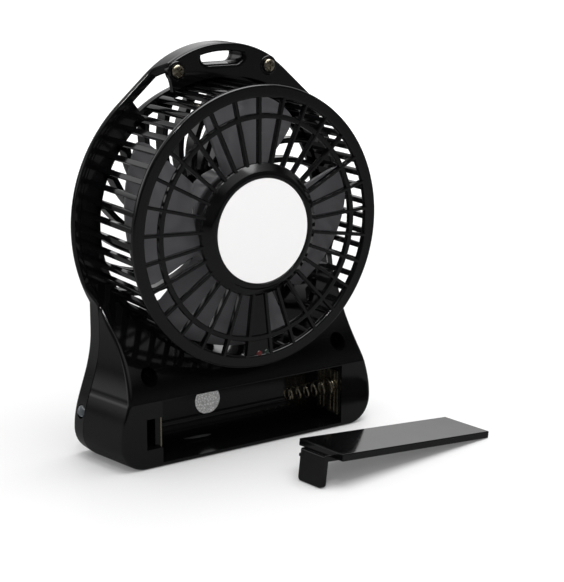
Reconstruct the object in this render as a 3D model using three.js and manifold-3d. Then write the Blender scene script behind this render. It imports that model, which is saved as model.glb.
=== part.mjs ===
// Small rechargeable desk fan on a flared base, standing beside its own battery door.
// Millimetres, +Z up. The grille and the battery bay face +Y, the air leaves towards -Y.
// The origin is the middle of the base's underside.
import * as THREE from 'three';
import { mergeVertices } from 'three/addons/utils/BufferGeometryUtils.js';
import Module from 'manifold-3d';

// ---- driving dimensions ----------------------------------------------------------------------
// clearances
const seatGap = 0.3;            // between pieces that rest on or hold each other
const runningGap = 0.3;         // round a shaft or a button
const glueGap = 0.1;            // under a sticker, a label or a soldered part
const pressGap = 0.15;          // round the shaft in the impeller's boss

// outline of the two housings, seen along Y
const fanZ = 81;                // height of the fan's axis
const rimMargin = 7.4;          // from the drum's wall out to the rim's edge
const handleRadius = 39.5;      // arc over the carrying handle
const handleRise = 22.4;        // that arc's centre above the fan's axis
const waistHalf = 49.4;
const waistZ = 45;
const footHalf = 57.1;
const footCorner = 10;
const flareLowZ = 22;           // handles of the flare's S curve
const flareHighZ = 30;
const footTaper = 4.5;          // each side of the foot draws in by this from seam to rear
const footRound = 1.4;          // rounding of the foot's rear edges

// depth of the housings, along Y
const frontFaceY = -15.8;
const frontRound = 2;
const seamY = -7.5;
const rimRearY = -3.9;
const footRearY = 13.8;
const plateThickness = 1.8;
const skirtWall = 1.6;
const lipWall = 2.4;            // rear edge of the rim
const spigotWall = 1.5;         // inner wall of the rim, inside the front housing's skirt

// sloped back of the foot
const ridgeLip = 0.5;           // strip of the rear face above the bay
const slopeHeight = 26.6;       // from the ridge up to where the slope meets the rim
const slopeRun = 17.7;
const slopePower = 1.2;

// drum and rear grille
const drumRadius = 48.9;
const drumWall = 2;
const slatCount = 55;
const slatWidth = 1.6;
const slotRearY = 14.4;
const webThickness = 1.2;
const ringProud = 1.3;          // the rear ring stands out from the drum by this
const ringWidth = 4.4;
const grilleRearY = 18.3;
const grilleDepth = 2.1;
const spokeCount = 29;
const spokeWidth = 1.25;
const middleRingRadius = 39.1;
const middleRingWidth = 1.9;
const channelDrop = 0.7;        // the wire channel's floor below the spokes

// hub of the rear grille and its label
const labelRadius = 18.4;
const labelThickness = 0.3;
const hubRimWidth = 1;          // flat rim round the label
const hubFootWidth = 3.7;       // the cone below that rim
const hubRearY = 20.3;
const hubFloor = 2.6;           // wall between the label and the motor

// front grille
const frontRingCount = 5;
const frontRingPitch = 5.3;
const frontRingWidth = 1.5;
const frontRibCount = 8;
const frontRibWidth = 1.6;
const frontGrilleDepth = 1.8;
const frontCapRadius = 16;
const frontCapCrown = 1.4;

// carrying handle
const handleFloorY = -7.6;
const handleHalfAngle = 25;     // degrees each side of the top
const windowLowAngle = 47;      // degrees above the level line, lower end of a side window
const windowHighAngle = 64;
const hangSlotLength = 16.6;
const hangSlotHeight = 5.2;
const hangSlotInset = 5.6;      // slot's centre below the top of the handle
const hangSlotFlare = 1.4;      // chamfer round the slot's rear mouth

// screws
const topScrewAngle = 31.4;     // degrees from the top, about the handle's own centre
const topScrewInset = 3.65;
const topBossRadius = 4.1;
const topBossHeight = 2.2;
const footScrewX = 39.9;
const footScrewZ = 32.1;
const footScrewSeatY = -2;
const screwHeadRadius = 2.3;
const screwHeadHeight = 1.2;
const screwShankRadius = 1.1;
const screwPostRadius = 3;
const screwTipGap = 0.8;        // left in front of a screw's tip
const screwWellGap = 0.8;       // round the heads in the foot

// motor and impeller
const motorRadius = 12.3;
const motorLength = 11.7;
const motorCupWall = 1.6;
const shaftRadius = 1;
const shaftInMotor = 4;
const impellerHubRadius = 18.6;
const impellerHubWall = 1.5;
const impellerHubFrontGap = 4.5;
const impellerHubRearGap = 1.6;
const bossWall = 2.2;
const bladeCount = 4;
const bladeTipGap = 1.6;
const bladeFrontGap = 2.5;
const bladeThickness = 1.3;
const bladeHalfSpan = 28;       // degrees each side of the blade's middle
const bladeFirstAngle = 8;
const bladeTipRise = 20;        // along Y from leading to trailing edge, at the tip
const bladeRootRise = 13;
const bladeCamber = 1.6;
const bladeCornerRounding = 0.16;

// battery bay and latch
const bayLeft = 37.1;
const bayRight = -39.1;
const bayFloorZ = 1.65;
const bayHeight = 22.25;
const bayDepth = 19;
const bayCradleRadius = 6.9;
const latchWall = 2;
const latchWidth = 4.3;
const latchHeight = 11.1;
const latchNotchDepth = 1.9;
const sealRadius = 5.2;
const sealThickness = 0.2;
const sealX = 7.8;
const sealZ = 13.9;
const contactThickness = 0.5;
const contactHeight = 17;
const contactWidth = 13;
const dimpleRadius = 3;
const dimpleHeight = 0.9;
const springLength = 19;
const springRadius = 3.1;
const springTipRadius = 2.2;
const springWire = 0.7;
const springTurns = 6;
const springDepth = 6.4;        // its axis in front of the foot's rear face
const springZ = 14.6;

// battery door, standing off beside the fan
const doorFit = 0.3;            // all round it when it is in place
const doorThickness = 2.6;
const doorEdge = 0.4;
const doorLegLength = 12.5;
const doorLegThickness = 2.2;
const doorLegTip = 1.6;
const doorLegSideGap = 0.95;
const doorLegRoot = 4;          // the leg's tongue under the plate
const doorToothHeight = 1.6;
const doorToothReach = 0.6;
const doorCornerX = -3.3;       // rear corner at the leg's end, seen from above
const doorCornerY = 64.1;
const doorTurn = -8.3;          // degrees about the vertical

// electronics
const boardWidth = 44;
const boardHeight = 19;
const boardThickness = 1.4;
const boardZ = 15.5;
const switchSize = 6;
const switchDepth = 1.9;
const plungerRadius = 1.3;
const plungerReach = 0.4;
const buttonRadius = 4.8;
const buttonFlangeWidth = 1.2;
const buttonFlangeThickness = 1;
const buttonProud = 1.2;
const buttonTravel = 0.6;
const buttonZ = 16;
const lampFit = 0.2;            // round each lamp in its hole
const ledRadius = 1.3;
const ledLength = 3.4;
const ledInset = 1.8;           // centres of the two small lamps inside the drum's inner wall
const ledApart = 3.2;
const sideLampRadius = 2.3;
const sideLampProud = 0.8;
const sideLampLength = 6.5;
const sideLampDepth = 5.4;      // its axis behind the front face
const sideLampZ = 16.9;
const socketWidth = 3;
const socketHeight = 7.6;
const socketLength = 5.6;
const socketWall = 0.4;
const socketTongue = 0.6;
const socketInset = 1.1;        // its mouth inside the foot's widest line
const socketDepth = 5;          // its middle behind the front face
const socketZ = 14;

// fineness of the round forms
const outlineSteps = 6;
const fineRound = 36;
const middleRound = 28;
const smallRound = 12;

// ---- sizes that follow from those --------------------------------------------------------------
const rimRadius = drumRadius + rimMargin;
const handleZ = fanZ + handleRise;
const hangSlotZ = handleZ + handleRadius - hangSlotInset;
const skirtRearY = seamY;
const rearShellFrontY = seamY + seatGap;
const plateInnerY = frontFaceY + plateThickness;
const webFrontY = plateInnerY + seatGap;
const webRearY = webFrontY + webThickness;
const spigotOutset = skirtWall + seatGap;
const spigotInset = spigotOutset + spigotWall;
const topBossRearY = handleFloorY + topBossHeight;
const topPostRearY = seamY - 2;
const screwTipY = plateInnerY + screwTipGap;

const bayTopZ = bayFloorZ + bayHeight;
const bayFarY = footRearY - bayDepth;
const bayMiddleZ = bayFloorZ + bayHeight / 2;
const bayMiddleY = footRearY - bayDepth / 2 + 1;
const ridgeZ = bayTopZ + ridgeLip;
const slopeTopZ = ridgeZ + slopeHeight;
const latchInnerX = bayLeft + latchWall;
const latchOuterX = latchInnerX + latchWidth;
const latchDepth = doorLegLength + seatGap;
const springY = footRearY - springDepth;

const drumInner = drumRadius - drumWall;
const ringRadius = drumRadius + ringProud;
const ringInnerRadius = ringRadius - ringWidth;
const slatPitch = 360 / slatCount;
const spokePitch = 360 / spokeCount;
const grilleFrontY = grilleRearY - grilleDepth;
const ledRing = drumInner - ledInset;

const hubTopRadius = labelRadius + seatGap + hubRimWidth;
const hubFootRadius = hubTopRadius + hubFootWidth;
const hubFloorY = hubRearY - labelThickness - 2 * glueGap;
const motorRearY = hubFloorY - hubFloor - seatGap;
const motorFrontY = motorRearY - motorLength;
const motorCupInner = motorRadius + seatGap;
const motorCupOuter = motorCupInner + motorCupWall;
const impellerHubFrontY = plateInnerY + impellerHubFrontGap;
const impellerHubRearY = motorFrontY - impellerHubRearGap;
const shaftFrontY = impellerHubFrontY + 3.3;
const shaftRearY = motorFrontY + shaftInMotor;
const bladeRadius = drumInner - bladeTipGap;
const bladeMiddleY = plateInnerY + bladeFrontGap + bladeTipRise / 2;

const boardRearY = rearShellFrontY - seatGap;
const boardFrontY = boardRearY - boardThickness;
const doorLength = bayLeft - bayRight - 2 * doorFit;
const doorWidth = bayHeight - 2 * doorFit;
const doorBridge = latchWall + 2 * doorFit;
const doorLegWidth = latchHeight - 2 * doorLegSideGap;
const rad = THREE.MathUtils.degToRad;
// one facet of the drum to each slat, with its corners at the slats' middles
const drumFacets = { steps: slatCount, phase: -rad(slatPitch / 2) };

// ---- joining and cutting -----------------------------------------------------------------------
const wasm = await Module();
wasm.setup();

function closedMesh(geometry) {
  const bare = geometry.clone();
  bare.deleteAttribute('normal');
  bare.deleteAttribute('uv');
  const merged = mergeVertices(bare, 1e-4);
  const place = merged.getAttribute('position');
  const index = [];
  let volume = 0;
  const a = new THREE.Vector3();
  const b = new THREE.Vector3();
  const c = new THREE.Vector3();
  for (let i = 0; i < merged.index.count; i += 3) {
    const corners = [0, 1, 2].map((k) => merged.index.getX(i + k));
    if (new Set(corners).size < 3) continue;
    a.fromBufferAttribute(place, corners[0]);
    b.fromBufferAttribute(place, corners[1]);
    c.fromBufferAttribute(place, corners[2]);
    volume += a.dot(b.cross(c));
    index.push(...corners);
  }
  if (volume < 0) index.reverse();
  return { vertices: new Float32Array(place.array), index: new Uint32Array(index) };
}

function solid(geometry) {
  const { vertices, index } = closedMesh(geometry);
  return new wasm.Manifold(new wasm.Mesh({ numProp: 3, vertProperties: vertices, triVerts: index }));
}

function joined(solids) {
  return solids.reduce((whole, piece) => whole.add(piece));
}

function cut(body, cutters) {
  return cutters.reduce((left, cutter) => left.subtract(cutter), body);
}

function surface(body) {
  const mesh = body.getMesh();
  const geometry = new THREE.BufferGeometry();
  geometry.setAttribute('position', new THREE.BufferAttribute(new Float32Array(mesh.vertProperties), 3));
  geometry.setIndex(new THREE.BufferAttribute(new Uint32Array(mesh.triVerts), 1));
  geometry.computeVertexNormals();
  return geometry;
}

// ---- basic forms -------------------------------------------------------------------------------
// a shape drawn in X and Z, between two places along Y
function slab(shape, frontY, rearY, steps = outlineSteps) {
  const geometry = new THREE.ExtrudeGeometry(shape, {
    depth: rearY - frontY, bevelEnabled: false, curveSegments: steps,
  });
  return solid(geometry.rotateX(Math.PI / 2).translate(0, rearY, 0));
}

// a shape drawn in Y and Z, between two places along X
function bar(shape, fromX, toX, steps = outlineSteps) {
  const geometry = new THREE.ExtrudeGeometry(shape, {
    depth: toX - fromX, bevelEnabled: false, curveSegments: steps,
  });
  const turn = new THREE.Matrix4().makeBasis(
    new THREE.Vector3(0, 1, 0), new THREE.Vector3(0, 0, 1), new THREE.Vector3(1, 0, 0),
  );
  return solid(geometry.applyMatrix4(turn).translate(fromX, 0, 0));
}

// the same, with both of its rims rounded; the shape is the outline at the very ends
function roundedSlab(shape, frontY, rearY, round, segments) {
  const geometry = new THREE.ExtrudeGeometry(shape, {
    depth: rearY - frontY - 2 * round, bevelEnabled: true, bevelThickness: round, bevelSize: round,
    bevelSegments: segments, curveSegments: outlineSteps,
  });
  return geometry.rotateX(Math.PI / 2).translate(0, rearY - round, 0);
}

function box(low, high) {
  const size = high.map((value, i) => value - low[i]);
  const middle = high.map((value, i) => (value + low[i]) / 2);
  return solid(new THREE.BoxGeometry(...size).translate(...middle));
}

// a profile of [radius, y] points turned about the Y axis
function latheUp(profile, steps, phase = 0) {
  return new THREE.LatheGeometry(profile.map(([radius, y]) => new THREE.Vector2(radius, y)), steps, phase);
}

// the same about a line along Y, the fan's axis unless another is given
function turned(profile, { x = 0, z = fanZ, steps = fineRound, phase = 0 } = {}) {
  return solid(latheUp(profile, steps, phase).translate(x, 0, z));
}

function disc(radius, frontY, rearY, place = {}) {
  return turned([[0, frontY], [radius, frontY], [radius, rearY], [0, rearY]], place);
}

function band(inner, outer, frontY, rearY, place = {}) {
  return turned([[inner, frontY], [outer, frontY], [outer, rearY], [inner, rearY], [inner, frontY]], place);
}

// a block along the radius at an angle above the level line, round the fan's axis
function radialBar(angle, inner, outer, width, frontY, rearY) {
  const geometry = new THREE.BoxGeometry(outer - inner, rearY - frontY, width);
  geometry.translate((inner + outer) / 2, (frontY + rearY) / 2, 0);
  return solid(geometry.rotateY(-rad(angle)).translate(0, 0, fanZ));
}

function polar(radius, angle) {
  return [radius * Math.cos(rad(angle)), fanZ + radius * Math.sin(rad(angle))];
}

// ---- outlines ----------------------------------------------------------------------------------
function bodyOutline(inset = 0) {
  const rim = rimRadius - inset;
  const waist = waistHalf - inset;
  const foot = footHalf - inset;
  const corner = footCorner - inset;
  const joinAngle = Math.acos(waist / rim);
  const tangent = Math.asin((rimRadius - handleRadius) / handleRise);
  const shape = new THREE.Shape();
  shape.moveTo(corner - foot, inset);
  shape.lineTo(foot - corner, inset);
  shape.absarc(foot - corner, inset + corner, corner, -Math.PI / 2, 0);
  shape.bezierCurveTo(foot, flareLowZ, waist, flareHighZ, waist, waistZ);
  shape.absarc(0, fanZ, rim, -joinAngle, tangent);
  shape.absarc(0, handleZ, handleRadius - inset, tangent, Math.PI - tangent);
  shape.absarc(0, fanZ, rim, Math.PI - tangent, Math.PI + joinAngle);
  shape.lineTo(-waist, waistZ);
  shape.bezierCurveTo(-waist, flareHighZ, -foot, flareLowZ, -foot, inset + corner);
  shape.absarc(corner - foot, inset + corner, corner, Math.PI, Math.PI * 1.5);
  return shape;
}

// everything above a height, or between two places along Y
function above(height) {
  return box([-100, -60, height], [100, 60, 200]);
}

function behind(frontY, rearY) {
  return box([-100, frontY, -20], [100, rearY, 200]);
}

function slopeY(z) {
  const share = Math.max(0, (z - ridgeZ) / (slopeTopZ - ridgeZ));
  return footRearY - slopeRun * share ** slopePower;
}

function drawInFoot(geometry) {
  const place = geometry.getAttribute('position');
  for (let i = 0; i < place.count; i += 1) {
    const share = Math.max(0, (place.getY(i) - rearShellFrontY) / (footRearY - rearShellFrontY));
    place.setX(i, place.getX(i) * (1 - (footTaper / footHalf) * share));
  }
  return geometry;
}

// ---- rear housing ------------------------------------------------------------------------------
function footBlock() {
  const frontY = rearShellFrontY;
  const rounded = roundedSlab(bodyOutline(footRound), frontY - footRound, footRearY, footRound, 2);
  const whole = solid(drawInFoot(rounded)).intersect(behind(frontY, footRearY + 1));
  const steps = 8;
  const topZ = slopeTopZ + 5;
  const slope = new THREE.Shape();
  slope.moveTo(frontY - 1, -1);
  slope.lineTo(footRearY + 1, -1);
  slope.lineTo(footRearY + 1, ridgeZ);
  for (let i = 0; i <= steps; i += 1) {
    const z = ridgeZ + ((topZ - ridgeZ) * i) / steps;
    slope.lineTo(slopeY(z), z);
  }
  slope.lineTo(frontY - 1, topZ);
  return whole.intersect(bar(slope, -70, 70));
}

function rimWall(outset, inset, frontY, rearY, lowZ) {
  const inside = slab(bodyOutline(inset), frontY - 1, rearY + 1);
  return slab(bodyOutline(outset), frontY, rearY).subtract(inside).intersect(above(lowZ));
}

function handleWindow(side, frontY, rearY) {
  const outer = spigotInset;
  const inner = drumRadius + 0.6;
  const sector = new THREE.Shape();
  const [lowX, lowZ] = polar(inner, windowLowAngle);
  const [highX, highZ] = polar(inner, windowHighAngle);
  const [farHighX, farHighZ] = polar(90, windowHighAngle);
  const [farLowX, farLowZ] = polar(90, windowLowAngle - 2);
  sector.moveTo(side * lowX, lowZ);
  sector.lineTo(side * farLowX, farLowZ);
  sector.lineTo(side * farHighX, farHighZ);
  sector.lineTo(side * highX, highZ);
  sector.absarc(0, fanZ, inner, side > 0 ? rad(windowHighAngle) : rad(180 - windowHighAngle),
    side > 0 ? rad(windowLowAngle) : rad(180 - windowLowAngle), side > 0);
  return slab(sector, frontY, rearY).intersect(slab(bodyOutline(outer), frontY, rearY));
}

function hangSlotShape() {
  const half = hangSlotLength / 2 - hangSlotHeight / 2;
  const shape = new THREE.Shape();
  shape.absarc(half, hangSlotZ, hangSlotHeight / 2, -Math.PI / 2, Math.PI / 2);
  shape.absarc(-half, hangSlotZ, hangSlotHeight / 2, Math.PI / 2, Math.PI * 1.5);
  return shape;
}

// the slot's straight part, and the chamfer round its mouth in the handle's floor
function hangSlotCutters() {
  const chamfer = new THREE.ExtrudeGeometry(hangSlotShape(), {
    depth: hangSlotFlare, bevelEnabled: true, bevelThickness: hangSlotFlare, bevelSize: hangSlotFlare,
    bevelSegments: 1, curveSegments: 4,
  });
  chamfer.rotateX(Math.PI / 2).translate(0, handleFloorY + hangSlotFlare, 0);
  return [slab(hangSlotShape(), webFrontY - 1, rimRearY, 4), solid(chamfer)];
}

function handleBlock() {
  const sector = new THREE.Shape();
  const [leftX, leftZ] = polar(120, 90 + handleHalfAngle);
  const [rightX, rightZ] = polar(120, 90 - handleHalfAngle);
  sector.moveTo(0, fanZ);
  sector.lineTo(rightX, rightZ);
  sector.lineTo(leftX, leftZ);
  const inside = slab(bodyOutline(spigotOutset), webFrontY, handleFloorY);
  return slab(sector, webFrontY, handleFloorY).intersect(inside);
}

function slotCutters() {
  const cutters = [];
  const pitchLength = (2 * Math.PI * drumRadius) / slatCount;
  for (let i = 0; i < slatCount; i += 1) {
    const angle = 90 + i * slatPitch;
    const [, z] = polar(drumRadius, angle);
    const front = z > slopeTopZ + 4 ? webRearY : slopeY(z) + webThickness;
    const behindChannel = Math.abs(i * slatPitch - 180) < slatPitch;
    if (behindChannel || slotRearY - front < 2) continue;
    cutters.push(radialBar(angle, drumInner - 2, drumRadius + 3, pitchLength - slatWidth, front, slotRearY));
  }
  return cutters;
}

function drum() {
  const wall = band(drumInner, drumRadius, webFrontY, slotRearY + 0.5, drumFacets);
  const ring = turned([
    [drumInner, slotRearY], [drumRadius, slotRearY], [ringRadius, slotRearY + 1.4],
    [ringRadius, grilleRearY - 1.3], [ringRadius - 0.7, grilleRearY - 0.3], [ringRadius - 2, grilleRearY],
    [ringInnerRadius, grilleRearY], [ringInnerRadius, slotRearY + 0.9], [drumInner, slotRearY],
  ], drumFacets);
  return joined([wall, ring]);
}

function hubCup() {
  return turned([
    [motorCupInner, motorFrontY], [motorCupOuter, motorFrontY], [motorCupOuter, grilleFrontY],
    [hubFootRadius, grilleFrontY], [hubFootRadius, grilleRearY - 0.6], [hubTopRadius + 1, hubRearY - 0.3],
    [hubTopRadius, hubRearY], [labelRadius + seatGap, hubRearY], [labelRadius + seatGap, hubFloorY],
    [0, hubFloorY], [0, motorRearY + seatGap], [motorCupInner, motorRearY + seatGap],
    [motorCupInner, motorFrontY],
  ]);
}

function wireChannel() {
  const half = 0.5 * spokePitch;
  const inner = hubFootRadius - 1;
  const outer = ringInnerRadius + 1;
  const shape = new THREE.Shape();
  shape.moveTo(...polar(inner, 270 - half));
  shape.lineTo(...polar(outer, 270 - half));
  shape.lineTo(...polar(outer, 270 + half));
  shape.lineTo(...polar(inner, 270 + half));
  return slab(shape, grilleFrontY, grilleRearY - channelDrop);
}

// height of a small lamp under the hub, at a place along X
function lampZ(x) {
  return fanZ - Math.sqrt(ledRing ** 2 - x ** 2);
}

function lampHole(x) {
  return disc(ledRadius + lampFit, slotRearY - 1, grilleRearY + 1, { x, z: lampZ(x), steps: smallRound });
}

function rearGrille() {
  const pieces = [];
  const inner = hubFootRadius - 1;
  const outer = ringInnerRadius + 1;
  for (let i = 0; i < spokeCount; i += 1) {
    const angle = 90 + i * spokePitch;
    pieces.push(radialBar(angle, inner, outer, spokeWidth, grilleFrontY, grilleRearY));
  }
  const half = middleRingWidth / 2;
  pieces.push(band(middleRingRadius - half, middleRingRadius + half, grilleFrontY, grilleRearY));
  pieces.push(hubCup());
  pieces.push(wireChannel());
  return joined(pieces);
}

function batteryBay() {
  const mouthY = footRearY + 1;
  const profile = new THREE.Shape();
  profile.moveTo(mouthY, bayFloorZ);
  profile.lineTo(mouthY, bayTopZ);
  profile.lineTo(bayFarY, bayTopZ);
  const cradleZ = bayFloorZ + bayCradleRadius;
  profile.absarc(bayFarY + bayCradleRadius, cradleZ, bayCradleRadius, Math.PI, Math.PI * 1.5);
  const trough = bar(profile, bayRight, bayLeft, 5);
  const lowZ = bayMiddleZ - latchHeight / 2;
  const highZ = bayMiddleZ + latchHeight / 2;
  const latch = box([latchInnerX, footRearY - latchDepth, lowZ], [latchOuterX, mouthY, highZ]);
  const notch = box([bayLeft - 1, footRearY - latchNotchDepth, lowZ], [latchInnerX + 1, mouthY, highZ]);
  return [trough, latch, notch];
}

function topScrewPlace(side) {
  const reach = handleRadius - topScrewInset;
  const angle = rad(topScrewAngle);
  return { x: side * reach * Math.sin(angle), z: handleZ + reach * Math.cos(angle), steps: smallRound };
}

function footScrewPlace(side) {
  return { x: side * footScrewX, z: footScrewZ, steps: smallRound };
}

function screwWays() {
  const ways = [];
  const shank = screwShankRadius + runningGap;
  for (const side of [-1, 1]) {
    const foot = footScrewPlace(side);
    ways.push(disc(screwHeadRadius + screwWellGap, footScrewSeatY, footRearY + 2, foot));
    ways.push(disc(shank, rearShellFrontY - 1, footScrewSeatY + 1, foot));
    const top = topScrewPlace(side);
    ways.push(disc(shank, webFrontY - 1, rimRearY + 1, top));
    ways.push(disc(screwPostRadius + seatGap, webFrontY - 1, topPostRearY + seatGap, top));
    ways.push(disc(screwHeadRadius + runningGap, topBossRearY, rimRearY + 1, top));
  }
  return ways;
}

function topBosses() {
  const inside = joined([
    slab(bodyOutline(spigotOutset), handleFloorY - 1, rearShellFrontY),
    slab(bodyOutline(lipWall / 2), rearShellFrontY, rimRearY),
  ]);
  return [-1, 1].map((side) => {
    const boss = disc(topBossRadius, handleFloorY - 0.5, topBossRearY, topScrewPlace(side));
    return boss.intersect(inside);
  });
}

function rearHousing() {
  const duct = disc(drumRadius - 0.6, webFrontY - 1, footRearY + 1, drumFacets);
  const lowZ = waistZ + 3;
  const upper = slab(bodyOutline(spigotOutset), webFrontY, webRearY).intersect(above(lowZ));
  const shell = joined([
    footBlock(),
    rimWall(0, lipWall, rearShellFrontY, rimRearY, slopeTopZ),
    rimWall(spigotOutset, spigotInset, webFrontY, rearShellFrontY + 1, lowZ),
    upper,
    handleBlock(),
    ...topBosses(),
  ]);
  const body = joined([shell.subtract(duct), drum().subtract(joined(slotCutters()))]);
  const windows = [-1, 1].map((side) => handleWindow(side, webFrontY - 1, rimRearY));
  const moulding = cut(body, [...windows, ...hangSlotCutters(), ...batteryBay(), ...screwWays()]);
  return cut(joined([moulding, rearGrille()]), [-ledApart, 0].map((x) => lampHole(x)));
}

// ---- front housing -----------------------------------------------------------------------------
function frontShell() {
  const rearY = skirtRearY + 2 * frontRound;
  const rounded = roundedSlab(bodyOutline(frontRound), frontFaceY, rearY, frontRound, 2);
  return solid(rounded).intersect(behind(frontFaceY - 1, skirtRearY));
}

function frontGrille() {
  const rearY = frontFaceY + frontGrilleDepth;
  const place = { steps: middleRound };
  const pieces = [];
  for (let i = 0; i < frontRingCount; i += 1) {
    const radius = frontCapRadius + frontRingPitch * (i + 1);
    const half = frontRingWidth / 2;
    pieces.push(band(radius - half, radius + half, frontFaceY, rearY, place));
  }
  for (let i = 0; i < frontRibCount; i += 1) {
    const angle = 90 + (i + 0.5) * (360 / frontRibCount);
    const outer = drumInner + 1;
    pieces.push(radialBar(angle, frontCapRadius - 1, outer, frontRibWidth, frontFaceY + 0.2, rearY));
  }
  pieces.push(turned([
    [0, frontFaceY - frontCapCrown], [frontCapRadius * 0.6, frontFaceY - frontCapCrown * 0.8],
    [frontCapRadius * 0.9, frontFaceY - frontCapCrown * 0.3], [frontCapRadius, frontFaceY + 0.4],
    [frontCapRadius, rearY], [0, rearY],
  ], place));
  return joined(pieces);
}

function screwPosts() {
  const posts = [];
  const pilots = [];
  const places = [-1, 1].flatMap((side) => [
    [topScrewPlace(side), topPostRearY], [footScrewPlace(side), skirtRearY],
  ]);
  for (const [place, rearY] of places) {
    posts.push(disc(screwPostRadius, plateInnerY - 0.5, rearY, place));
    pilots.push(disc(screwShankRadius + glueGap, plateInnerY, rearY + 1, place));
  }
  return [posts, pilots];
}

function frontHousing() {
  const innerEnd = plateInnerY + 1;
  const outerEnd = frontFaceY - 1;
  const cavity = slab(bodyOutline(skirtWall), plateInnerY, skirtRearY + 1);
  const opening = disc(drumInner, outerEnd, skirtRearY + 1);
  const shell = cut(frontShell(), [cavity, opening]);
  const [posts, pilots] = screwPosts();
  const cutters = [
    ...pilots,
    handleWindow(-1, outerEnd, innerEnd),
    handleWindow(1, outerEnd, innerEnd),
    slab(hangSlotShape(), outerEnd, innerEnd, 4),
    disc(buttonRadius + runningGap, outerEnd, innerEnd, { x: 0, z: buttonZ, steps: 24 }),
    sideLampHole(),
    socketForm(runningGap, 12),
  ];
  return joined([cut(joined([shell, ...posts]), cutters), frontGrille()]);
}

// ---- fan and motor -----------------------------------------------------------------------------
function blade(middleAngle) {
  const geometry = new THREE.BoxGeometry(1, 1, 1, 5, 8, 1);
  const place = geometry.getAttribute('position');
  const root = impellerHubRadius - impellerHubWall / 2;
  for (let i = 0; i < place.count; i += 1) {
    const along = place.getX(i) + 0.5;
    const across = place.getY(i) * 2;
    const radius = root + (bladeRadius - root) * along;
    const rounding = 1 - bladeCornerRounding * Math.max(0, (along - 0.6) / 0.4) ** 3;
    const angle = rad(middleAngle + across * bladeHalfSpan * rounding);
    const rise = bladeRootRise + (bladeTipRise - bladeRootRise) * along;
    const sheetY = bladeMiddleY - (across * rise) / 2 + bladeCamber * (1 - across ** 2);
    const y = sheetY + place.getZ(i) * bladeThickness;
    place.setXYZ(i, radius * Math.cos(angle), y, fanZ + radius * Math.sin(angle));
  }
  return solid(geometry);
}

function impeller() {
  const front = impellerHubFrontY;
  const inside = front + impellerHubWall + 0.4;
  const inner = impellerHubRadius - impellerHubWall;
  const bore = shaftRadius + pressGap;
  const boss = bore + bossWall;
  const bossRearY = impellerHubRearY - 1.6;
  const hub = turned([
    [0, front], [impellerHubRadius * 0.65, front + 0.3], [impellerHubRadius - 1.5, front + 1.8],
    [impellerHubRadius, front + 3.8], [impellerHubRadius, impellerHubRearY], [inner, impellerHubRearY],
    [inner, inside + 2], [impellerHubRadius * 0.65, inside + 0.2], [boss, inside], [boss, bossRearY],
    [bore, bossRearY], [bore, shaftFrontY - seatGap], [0, shaftFrontY - seatGap],
  ], { steps: middleRound });
  const blades = [];
  for (let i = 0; i < bladeCount; i += 1) blades.push(blade(bladeFirstAngle + (360 / bladeCount) * i));
  return joined([hub, ...blades]);
}

function motorCan() {
  const bore = shaftRadius + runningGap;
  const boreEnd = shaftRearY + seatGap;
  return turned([
    [bore, motorFrontY], [motorRadius - 1, motorFrontY], [motorRadius, motorFrontY + 1],
    [motorRadius, motorRearY - 1], [motorRadius - 1, motorRearY], [0, motorRearY],
    [0, boreEnd], [bore, boreEnd], [bore, motorFrontY],
  ], { steps: 24 });
}

function shaft() {
  return disc(shaftRadius, shaftFrontY, shaftRearY, { steps: smallRound });
}

// ---- labels, lamps and electronics -------------------------------------------------------------
function hubLabel() {
  return disc(labelRadius, hubFloorY + glueGap, hubFloorY + glueGap + labelThickness);
}

function baySeal() {
  const frontY = bayFarY + glueGap;
  return disc(sealRadius, frontY, frontY + sealThickness, { x: sealX, z: sealZ, steps: 24 });
}

function indicatorLamp(x) {
  const rear = grilleRearY - 0.1;
  return turned([
    [0, rear - ledLength], [ledRadius, rear - ledLength], [ledRadius, rear - 0.9],
    [ledRadius * 0.75, rear - 0.25], [0, rear],
  ], { x, z: lampZ(x), steps: smallRound });
}

// the clear lamp lies along X in the foot's +X side
function sideLampHole() {
  const length = 20;
  const round = sideLampRadius + lampFit;
  const geometry = new THREE.CylinderGeometry(round, round, length, smallRound);
  geometry.rotateZ(Math.PI / 2).translate(footHalf + 2 - length / 2, frontFaceY + sideLampDepth, sideLampZ);
  return solid(geometry);
}

function sideLamp() {
  const tip = footHalf - 0.5 + sideLampProud;
  const geometry = latheUp([
    [0, 0], [sideLampRadius, 0], [sideLampRadius, sideLampLength - 2],
    [sideLampRadius * 0.9, sideLampLength - 1.1], [sideLampRadius * 0.6, sideLampLength - 0.4],
    [0, sideLampLength],
  ], smallRound);
  geometry.rotateZ(-Math.PI / 2).translate(tip - sideLampLength, frontFaceY + sideLampDepth, sideLampZ);
  return solid(geometry);
}

// the charging socket's outer form, opening through the foot's -X side
function socketForm(grow, length) {
  const half = socketWidth / 2 + grow;
  const tall = socketHeight / 2 + grow;
  const out = -footHalf - 1;
  const y = frontFaceY + socketDepth;
  return box([out, y - half, socketZ - tall], [out + length, y + half, socketZ + tall]);
}

function usbSocket() {
  const mouth = -footHalf + socketInset;
  const y = frontFaceY + socketDepth;
  const low = [mouth, y - socketWidth / 2, socketZ - socketHeight / 2];
  const high = [mouth + socketLength, y + socketWidth / 2, socketZ + socketHeight / 2];
  const inside = box([mouth - 1, low[1] + socketWall, low[2] + socketWall],
    [high[0] - 1, high[1] - socketWall, high[2] - socketWall]);
  const tongue = box([mouth + 0.8, y - socketTongue / 2, socketZ - socketHeight / 3],
    [high[0] - socketWall, y + socketTongue / 2, socketZ + socketHeight / 3]);
  return joined([box(low, high).subtract(inside), tongue]);
}

function circuitBoard() {
  return box([-boardWidth / 2, boardFrontY, boardZ - boardHeight / 2],
    [boardWidth / 2, boardRearY, boardZ + boardHeight / 2]);
}

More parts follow.
